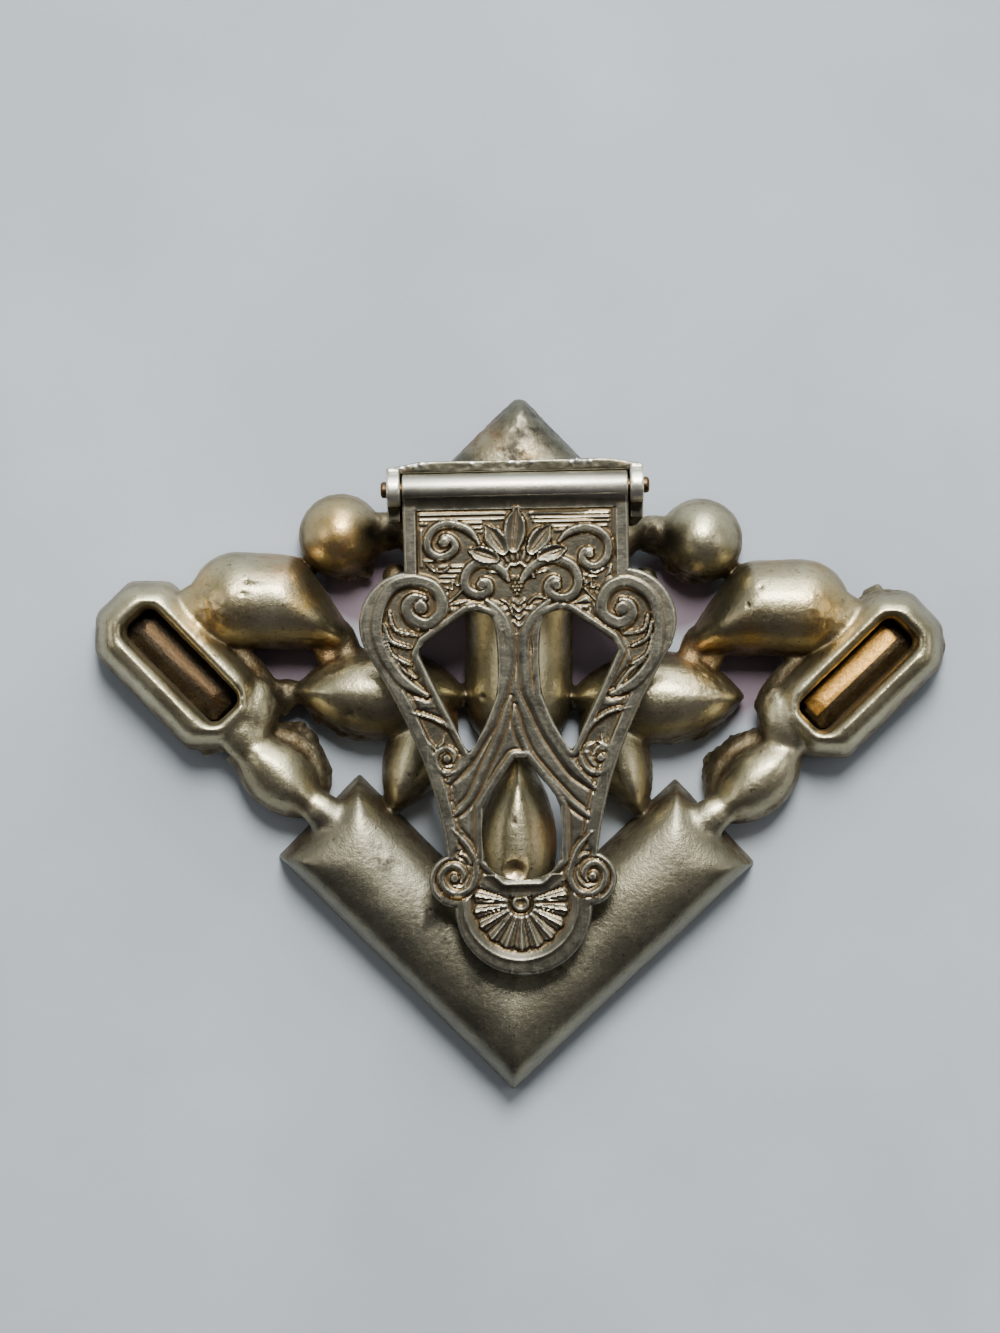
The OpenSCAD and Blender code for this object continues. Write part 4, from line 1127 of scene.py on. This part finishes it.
def curve_of(obj, rounds):
    """Positive in hollows, negative on edges, smoothed over a few rings of neighbours."""
    co, out = places_of(obj), directions(obj)
    pairs = np.empty(len(obj.data.edges) * 2, np.int32)
    obj.data.edges.foreach_get("vertices", pairs)
    a, b = pairs.reshape(-1, 2).T
    d = co[b] - co[a]
    length = np.linalg.norm(d, axis=1) + 1e-6
    bend, count = np.zeros(len(co)), np.full(len(co), 1e-6)
    np.add.at(bend, a, (out[a] * d).sum(1) / length)
    np.add.at(bend, b, -(out[b] * d).sum(1) / length)
    np.add.at(count, a, 1)
    np.add.at(count, b, 1)
    bend /= count
    for _ in range(rounds):
        total = np.zeros(len(co))
        np.add.at(total, a, bend[b])
        np.add.at(total, b, bend[a])
        bend = 0.5 * bend + 0.5 * total / count
    return bend


# %% Measure and store the casting's wear and its painted shade and highlight
co, out = places_of(casting), directions(casting)
x, y, z = co.T
north, up = out[:, 1], out[:, 2]
level, chevron_side = np.abs(up), on_chevron(co)
notch_side = chevron_side * (north > NOTCH_SIDE)
bend = curve_of(casting, 6)
copper = spots(co, COPPER)
# Walls: steep faces below the domes are brown, and so is much of the metal low down. On the upper cups the
# walls that face north, towards the window, are made less brown, so there the brown is partly painted shade
# on the walls that face away. The bar cup's sides and the chevron's outer sides stay paler.
walls = share(np.where(notch_side > 0.5, 1.6 - level * 1.7, 1.25 - level * 1.4)) * share((4.9 - z) / 1.2)
foot = share((4.0 - z) / 0.5 + 0.6 * grain(co, 1.2, 9))
pale = (1 - 0.8 * chevron_side * (north < NOTCH_SIDE)) * (1 - 0.5 * (y > 8) * share(north * 2))
pale *= 1 - 0.8 * (np.abs(x) < 4.4) * (y > -0.5) * share(z - 2.5)
# The chevron is painted a duller, darker grey, partly as painted shade for the dark room that it mirrors; it
# is lighter towards the far ends of its arms and on its right arm, and its brown inner walls are left out.
far = share((up_the_arm(co) - 15.0) / 7.0)
brown_side = notch_side * walls
dull = chevron_side * (1 - 0.1 * far) * (1 - 0.12 * (x > 0)) * (1 - 0.85 * brown_side)
# low: up-facing floors low between the cups, which are made darker
low = share((3.7 - z) / 0.6) * share(up * 1.6 - 0.2) * (1 - chevron_side) * (y < 19)
keep(casting, "hollow", bend * 6.0)
# edge: convex places, painted pale later: partly rubbed wear, partly a painted highlight
keep(casting, "edge", -curve_of(casting, 2) * 3.5 - 0.35)
keep(casting, "wall", np.maximum(walls, foot) * pale)
# dull: the chevron, partly painted shade, and the scorched top of the square cup
keep(casting, "dull", np.maximum(dull, share(y - 19.5) * (1 - 0.8 * copper)))
keep(casting, "copper", copper + 0.5 * walls * (copper > 0.1))
keep(casting, "gold", spots(co, GOLD))
keep(casting, "stain", spots(co, STAIN) * 1.3)
# Soot on the ties by the round cups, and darker low floors between the cups
keep(casting, "soot_and_dark_floors", np.maximum(spots(co, SOOT) * 1.3, 0.6 * low * share(0.8 + 0.8 * grain(co, 0.9, 10))))
print("hollow", round(float(np.percentile(bend, 95)), 3), "edge", round(float(np.percentile(bend, 5)), 3))

# %% Measure and store the hinge's wear and painted highlights
SLOPE = 0.034  # of the leaning hinge, as rise over run
for piece in (bracket, lever):
    keep(piece, "hollow", curve_of(piece, 3) * 7.0)
    # edge: convex places, painted pale later: partly rubbed wear, partly a painted highlight
    keep(piece, "edge", -curve_of(piece, 1) * 4.0 - 0.2)
x, y, z = (places_of(lever) - HINGE_AT).T
on_face = (directions(lever)[:, 2] > 0.3) & (y < -1.5)
# a pale band along the top of the barrel: a painted highlight, with some rubbing
keep(lever, "rubbed_and_highlight", share(1 - np.abs(y - 0.1) / 0.9) * (z > 0.5))
keep(lever, "sunk", share((TOP + GROUND - 0.01 - z) / 0.12) * on_face)
co = places_of(bracket) - HINGE_AT
x, y, z = co.T
tinned = spots(co, [(at_x, at_y + SLOPE * at_x, 1.5 * r) for at_x, at_y, _, r in FLECKS])
keep(bracket, "tin", tinned * (0.7 + grain(co, 0.3, 11)) * (z > -0.4))
# the ears' upper parts painted pale: a painted highlight, with some rubbing
keep(bracket, "rubbed_and_highlight", share((np.abs(x) - 8.3) / 0.2) * share(z + 0.4))
print("points with tin", int((tinned > 0.5).sum()))

# %% [markdown]
# ## Finishes
#
# Colours are written as they look on a screen and turned to the linear values that
# Blender mixes. One small function adds a node, sets it up and links it. The others are
# steps of a finish: they start one, say where a layer shows, lay colours over each other,
# scratch the metal and end the finish.

# %% Colours and nodes
def colour(code):
    parts = [int(code[i:i + 2], 16) / 255 for i in (1, 3, 5)]
    return tuple(c / 12.92 if c < 0.04045 else ((c + 0.055) / 1.055) ** 2.4 for c in parts) + (1.0,)


def add(tree, kind, inputs=None, out=0, stops=(), **settings):
    """A node's output; inputs maps a socket's name or number to a value or to another output."""
    made = tree.nodes.new("ShaderNode" + kind)
    for key, value in settings.items():
        setattr(made, key, value)
    if stops:
        ramp = made.color_ramp.elements
        for _ in stops[2:]:
            ramp.new(0.5)
        for element, (at, code) in zip(ramp, stops):
            element.position, element.color = at, colour(code)
    for key, value in (inputs or {}).items():
        if isinstance(value, bpy.types.NodeSocket):
            tree.links.new(value, made.inputs[key])
        else:
            made.inputs[key].default_value = value
    return made.outputs[out] if made.outputs else made


# %% Steps of a finish
def start(name, *grains_mm):
    """An empty finish, its place on the piece and its noises: size in mm, detail, roughness."""
    finish = bpy.data.materials.new(name)
    finish.use_nodes = True
    tree = finish.node_tree
    tree.nodes.clear()
    where = add(tree, "TexCoord", out="Object")
    noises = []
    for mm, detail, rough in grains_mm:
        looks = {"Vector": where, "Scale": 1000 / mm, "Detail": detail, "Roughness": rough}
        noises.append(add(tree, "TexNoise", looks))
    return finish, tree, where, *noises


def shown(tree, source, low, high, weak, strong, worn=None):
    """How strongly a layer shows: a noise, or kept wear or painted light, stretched, times another."""
    source, worn = [add(tree, "Attribute", out="Fac", attribute_name=v) if isinstance(v, str) else v
                    for v in (source, worn)]
    part = add(tree, "MapRange", {0: source, 1: low, 2: high, 3: weak, 4: strong}, clamp=True)
    return part if worn is None else add(tree, "Math", {0: worn, 1: part}, operation="MULTIPLY")


def layered(tree, tone, layers):
    """Lays colours over each other, each as strongly as it is shown."""
    for code, *how in layers:
        over = {0: shown(tree, *how), 6: tone, 7: colour(code)}
        tone = add(tree, "Mix", over, out=2, data_type="RGBA")
    return tone


def sum_of(tree, rows):
    total = 0.0
    for how in rows:
        total = add(tree, "Math", {0: total, 1: shown(tree, *how)}, operation="ADD")
    return total


def scratches(tree, where, ways):
    """Long thin grains: noise that is squeezed across and drawn out along, each way in turn."""
    marks = 0.0
    for turn, mm in ways:
        turned = {"Vector": where, "Rotation": (0, 0, math.radians(turn)), "Scale": (1, 0.06, 1)}
        drawn = add(tree, "Mapping", turned)
        lines = add(tree, "TexNoise", {"Vector": drawn, "Scale": 1000 / mm, "Detail": 2, "Roughness": 0.6})
        way = shown(tree, lines, 0.60, 0.72, 0.0, 1.0)
        marks = add(tree, "Math", {0: marks, 1: way}, operation="MAXIMUM")
    return marks


def surface(tree, height=None, strength=1.0, deep_mm=1.0, **inputs):
    """Ends a finish: its bump, its shader and the output."""
    inputs = {key.replace("_", " "): value for key, value in inputs.items()}
    if height is not None:
        bump = {"Height": height, "Strength": strength, "Distance": deep_mm * MM}
        inputs["Normal"] = add(tree, "Bump", bump)
    add(tree, "OutputMaterial", {"Surface": add(tree, "BsdfPrincipled", inputs)})


def dress(obj, finish):
    obj.data.materials.clear()
    obj.data.materials.append(finish)


# %% [markdown]
# ### Gold-washed pot metal
#
# The casting is a tin alloy with a thin gilt wash that has gone pale and greyish. The
# polished domes still shine; the walls are browner and rougher, and on walls that face away
# from the window the brown is partly painted shade. Hollows are dark brown, bare copper
# shows at some joints, and fine scratches cross the crests. The chevron is painted a duller
# grey, partly as painted shade, and the pale edges are partly a painted highlight.

# %% Casting finish
def gilt_pot_metal():
    finish, tree, where, cloud, mottle, fine, speck, skin = start(
        "worn gilt pot metal", (6.0, 4, 0.55), (1.6, 4, 0.65), (0.35, 3, 0.7), (0.5, 3, 0.85), (0.45, 4, 0.7))
    wall = shown(tree, mottle, 0.3, 0.65, 0.45, 1.0, "wall")
    wash = [(0.32, "#938b70"), (0.5, "#aca384"), (0.66, "#c2ba9a")]
    tone = layered(tree, add(tree, "ValToRGB", {0: cloud}, stops=wash), [
        ("#857a58", mottle, 0.45, 0.95, 0.0, 0.25),
        ("#c9a664", mottle, 0.3, 0.6, 0.35, 1.0, "gold"),
        # brown walls: rough cast metal, and partly painted shade
        ("#57462f", wall, 0, 1, 0.0, 1.0),
        ("#b98a58", mottle, 0.35, 0.6, 0.1, 0.7, "copper"),
        # a duller, darker grey: on the chevron partly painted shade
        ("#575750", mottle, 0.3, 0.7, 0.6, 0.85, "dull"),
        ("#5d523a", fine, 0.5, 0.75, 0.0, 0.3),
        ("#4a3520", cloud, 0.3, 0.7, 0.6, 1.0, "hollow"),
        ("#2c2822", mottle, 0.42, 0.6, 0.0, 0.8, "stain"),
        ("#40382b", speck, 0.61, 0.70, 0.0, 0.7),
        # soot, and darker low floors between the cups
        ("#2a241c", "soot_and_dark_floors", 0, 1, 0.0, 0.9),
        # pale edges: rubbed wear and a painted highlight
        ("#e4dcc4", "edge", 0, 1, 0.0, 0.6)])
    marks = scratches(tree, where, [(35, 0.10), (-20, 0.12)])
    rough = sum_of(tree, [(cloud, 0.3, 0.7, 0.29, 0.38), (wall, 0, 1, 0.0, 0.22),
                          (mottle, 0.42, 0.6, 0.0, 0.25, "stain"), ("dull", 0, 1, 0.0, 0.06),
                          (marks, 0, 1, 0.0, 0.12)])
    height = sum_of(tree, [(fine, 0, 1, 0.0, 0.7), (skin, 0, 1, 0.0, 1.8, wall), (mottle, 0, 1, 0.0, 0.6)])
    surface(tree, height, 0.7, 0.07, Base_Color=tone, Metallic=1.0, Roughness=rough)
    return finish


dress(casting, gilt_pot_metal())

# %% [markdown]
# ### Nickelled brass
#
# The lever and its bracket are greyer and less shiny: satin nickel over brass. The die's
# hollows keep a brassy orange and the flats have a fine grain. Edges are painted pale,
# partly for rubbing and partly as a painted highlight, and the barrel's top and the ears
# are painted pale as a painted highlight with some rubbing.

# %% Lever finish
def nickelled_brass(name, dark, light):
    finish, tree, where, cloud, mottle, fine = start(name, (3.0, 4, 0.55), (0.8, 4, 0.7), (0.18, 2, 0.7))
    tone = layered(tree, add(tree, "ValToRGB", {0: cloud}, stops=[(0.35, dark), (0.65, light)]), [
        ("#5e5744", mottle, 0.5, 0.95, 0.0, 0.35),
        ("#806640", "hollow", 0.05, 0.45, 0.0, 0.7),
        ("#2f2517", "hollow", 0.45, 1.0, 0.0, 0.45),
        ("#484133", mottle, 0.3, 0.7, 0.25, 0.55, "sunk"),
        # pale edges: rubbed wear and a painted highlight
        ("#d4ccb2", "edge", 0.05, 0.65, 0.0, 0.65),
        # pale barrel top and ears: a painted highlight, with some rubbing
        ("#e0dbc9", "rubbed_and_highlight", 0, 1, 0.0, 0.95),
        ("#e4e4de", "tin", 0, 1, 0.0, 1.0)])
    marks = scratches(tree, where, [(62, 0.15), (-75, 0.18)])
    rough = sum_of(tree, [(mottle, 0.3, 0.7, 0.31, 0.43), (marks, 0, 1, 0.0, 0.1)])
    surface(tree, fine, 0.4, 0.03, Base_Color=tone, Metallic=1.0, Roughness=rough)
    return finish


dress(lever, nickelled_brass("satin nickelled brass", "#56534a", "#6b685b"))
dress(bracket, nickelled_brass("dull nickelled brass", "#504d40", "#646051"))

# %% [markdown]
# ### Pin, foil and glass
#
# The pin is bare brass gone coppery. The foils are crinkled metal leaf, copper on the
# left and gold on the right. One long facet of each has a painted gleam, a painted
# highlight, and the rest is painted in shade. The stones are cut glass: nearly clear, with
# a few in a pale violet, whose faint body colour comes from the glass itself.

# %% Pin and foils
DIAGONAL = 0.7071


def bare_brass():
    finish, tree, _, fine = start("bare brass pin", (0.5, 4, 0.7))
    tone = add(tree, "ValToRGB", {0: fine}, stops=[(0.35, "#3d3024"), (0.65, "#7c6346")])
    surface(tree, fine, 0.2, 0.1, Base_Color=tone, Metallic=1.0, Roughness=0.38)
    return finish


def foil_leaf(name, side, shade, gleam, high):
    """A painted highlight on one facet, from the roof's ridge to high and 8.5 mm long; the rest is painted
    shade.
    """
    finish, tree, where, fine = start(name, (0.22, 4, 0.7))
    ridge = (BAGUETTE_AT[0] - BAGUETTE_AT[1]) / math.sqrt(2)
    centre = (WINDOW_AT[0] + WINDOW_AT[1]) / math.sqrt(2)
    facet = 1.0
    for slope, low, top, soft in [(-side, -ridge, high - ridge, 0.08),
                                  (side, centre - 4.3, centre + 4.2, 0.2)]:
        way = (slope * DIAGONAL, DIAGONAL, 0)
        reach = add(tree, "VectorMath", {0: where, 1: way}, out="Value", operation="DOT_PRODUCT")
        facet = shown(tree, reach, low * MM, (low + soft) * MM, 0.0, 1.0, facet)
        facet = shown(tree, reach, (top - soft) * MM, top * MM, 1.0, 0.0, facet)
    dark, light = [add(tree, "ValToRGB", {0: fine}, stops=[(0.35, a), (0.65, b)]) for a, b in (shade, gleam)]
    tone = add(tree, "Mix", {0: facet, 6: dark, 7: light}, out=2, data_type="RGBA")
    surface(tree, fine, 0.5, 0.1, Base_Color=tone, Metallic=1.0, Roughness=0.42)
    return finish


dress(pin, bare_brass())
# Each foil: its painted shade colours, its painted gleam colours and how far the gleam reaches
dress(foil_left, foil_leaf("copper foil", -1, ("#3a3228", "#4b4135"), ("#4a3c2a", "#5b4834"), 0.95))
dress(foil_right, foil_leaf("gold foil", 1, ("#3a3226", "#50432f"), ("#ad7f3b", "#e0ad60"), 1.5))

# %% The stones
def cut_glass(name, pale, deep):
    finish, tree, _, cloud = start(name, (5.0, 3, 0.55))
    tone = layered(tree, colour(pale), [(deep, cloud, 0, 1, 0.0, 1.0)])
    surface(tree, Base_Color=tone, Roughness=0.03, IOR=1.52, Transmission_Weight=1.0)
    return finish


VIOLET = ("square", "upper", "middle")
clear_glass = cut_glass("clear cut glass", "#f4f3f8", "#dcdce8")
violet_glass = cut_glass("pale amethyst glass", "#d9bfdc", "#b48fbc")
stones = {name: node for name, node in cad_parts.items() if name.endswith("stone") or "_stone_" in name}
for name, node in stones.items():
    dress(node, violet_glass if name.startswith(VIOLET) else clear_glass)
print("stones", len(stones))

# %% [markdown]
# ## Into metres, and onto the body
#
# Each piece is shrunk to metres with its place in its mesh, shaded smooth but for its
# sharp edges, and set on the body that it rides on; the CAD nodes that it stands for are
# hidden.

# %% Finish the pieces
def finish_piece(obj, body, slot, *nodes):
    only(obj)
    obj.scale = (MM, MM, MM)
    bpy.ops.object.transform_apply(location=True, rotation=True, scale=True)
    bpy.ops.object.shade_smooth_by_angle(angle=math.radians(40))
    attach(obj, body)
    if nodes:
        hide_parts(*nodes)


finish_piece(casting, "frame", "cast_metal", "cast_frame")
finish_piece(bracket, "frame", "cast_metal", "cast_frame")
finish_piece(lever, "lever", "lever_metal", "clip_lever")
finish_piece(pin, "frame", "pin_metal", "hinge_pin")
finish_piece(foil_left, "frame", "copper_foiled_glass")
finish_piece(foil_right, "frame", "gold_foiled_glass")

# %% [markdown]
# ## Floor and light
#
# The clip lies on pale blue-grey paper. In the gaps beside the violet stones the paper is
# painted with a dusky mauve shadow. The light is one large window beyond the clip's top,
# fairly high, with bright sky lower down behind it, and a dim room all round: that is what
# the domes mirror.

# %% Paper
# Each painted mauve shadow in a gap: x, y and radius
MAUVE_SHADOWS = [(-12.0, 12.0, 2.6), (11.8, 11.8, 2.6), (-17.3, 5.8, 3.0), (16.4, 5.9, 3.0), (-5.0, 7.6, 3.2),
         (4.8, 7.2, 3.2)]
only()
bpy.ops.mesh.primitive_plane_add(size=3, location=(0, 0, 0))
floor = bpy.context.object
floor.name = "floor"
paper, tree, where, fibre, wave = start("pale drawing paper", (1.5, 5, 0.7), (35.0, 3, 0.55))
painted_shadows = []
for x, y, r in MAUVE_SHADOWS:
    away = add(tree, "VectorMath", {0: where, 1: (x * MM, y * MM, 0)}, out="Value", operation="DISTANCE")
    # a painted shadow, full within r of the gap's middle and gone at 1.5 r
    painted_shadows.append(("#6c5863", away, r * MM, 1.5 * r * MM, 0.9, 0.0))
plain = add(tree, "ValToRGB", {0: wave}, stops=[(0.35, "#9ea5ad"), (0.65, "#aab1b8")])
height = sum_of(tree, [(fibre, 0, 1, 0.0, 0.06), (wave, 0, 1, 0.0, 1.0)])
surface(tree, height, 0.25, 2.0, Base_Color=layered(tree, plain, painted_shadows), Roughness=0.85)
dress(floor, paper)

# %% Window and room
# Each lamp: place, size, watts and tint
LAMPS = {"window": ((0.03, 0.30, 0.45), 0.20, 5.0, (1.0, 1.0, 0.97)),
         "sky": ((0.10, 0.60, 0.30), 0.50, 3.6, (0.92, 0.96, 1.0)),
         "room left": ((-0.5, 0.05, 0.30), 0.3, 0.5, (1.0, 0.98, 0.92)),
         "room right": ((0.5, 0.0, 0.30), 0.3, 0.5, (1.0, 0.98, 0.92))}
for name, (at, size, watts, tint) in LAMPS.items():
    light = bpy.data.lights.new(name, "AREA")
    light.shape, light.size, light.energy, light.color = "DISK", size, watts, tint
    lamp = bpy.data.objects.new(name, light)
    bpy.context.scene.collection.objects.link(lamp)
    lamp.location = at
    lamp.rotation_euler = (-Vector(at)).to_track_quat("-Z", "Y").to_euler()
world = bpy.data.worlds.new("studio")
bpy.context.scene.world = world
world.use_nodes = True
tree = world.node_tree
tree.nodes.clear()
north = add(tree, "SeparateXYZ", {0: add(tree, "TexCoord", out="Generated")}, out="Y")
shades = [(0.0, "#48454d"), (0.45, "#737177"), (0.7, "#b4bab8"), (1.0, "#e6ecec")]
room = add(tree, "ValToRGB", {0: shown(tree, north, -0.8, 0.9, 0.0, 1.0)}, stops=shades)
overhead = shown(tree, north.node.outputs["Z"], 0.95, 0.97, 0.95, 0.22)
add(tree, "OutputWorld", {"Surface": add(tree, "Background", {"Color": room, "Strength": overhead})})
print("lamps", len(LAMPS), "watts", sum(watts for at, size, watts, tint in LAMPS.values()))
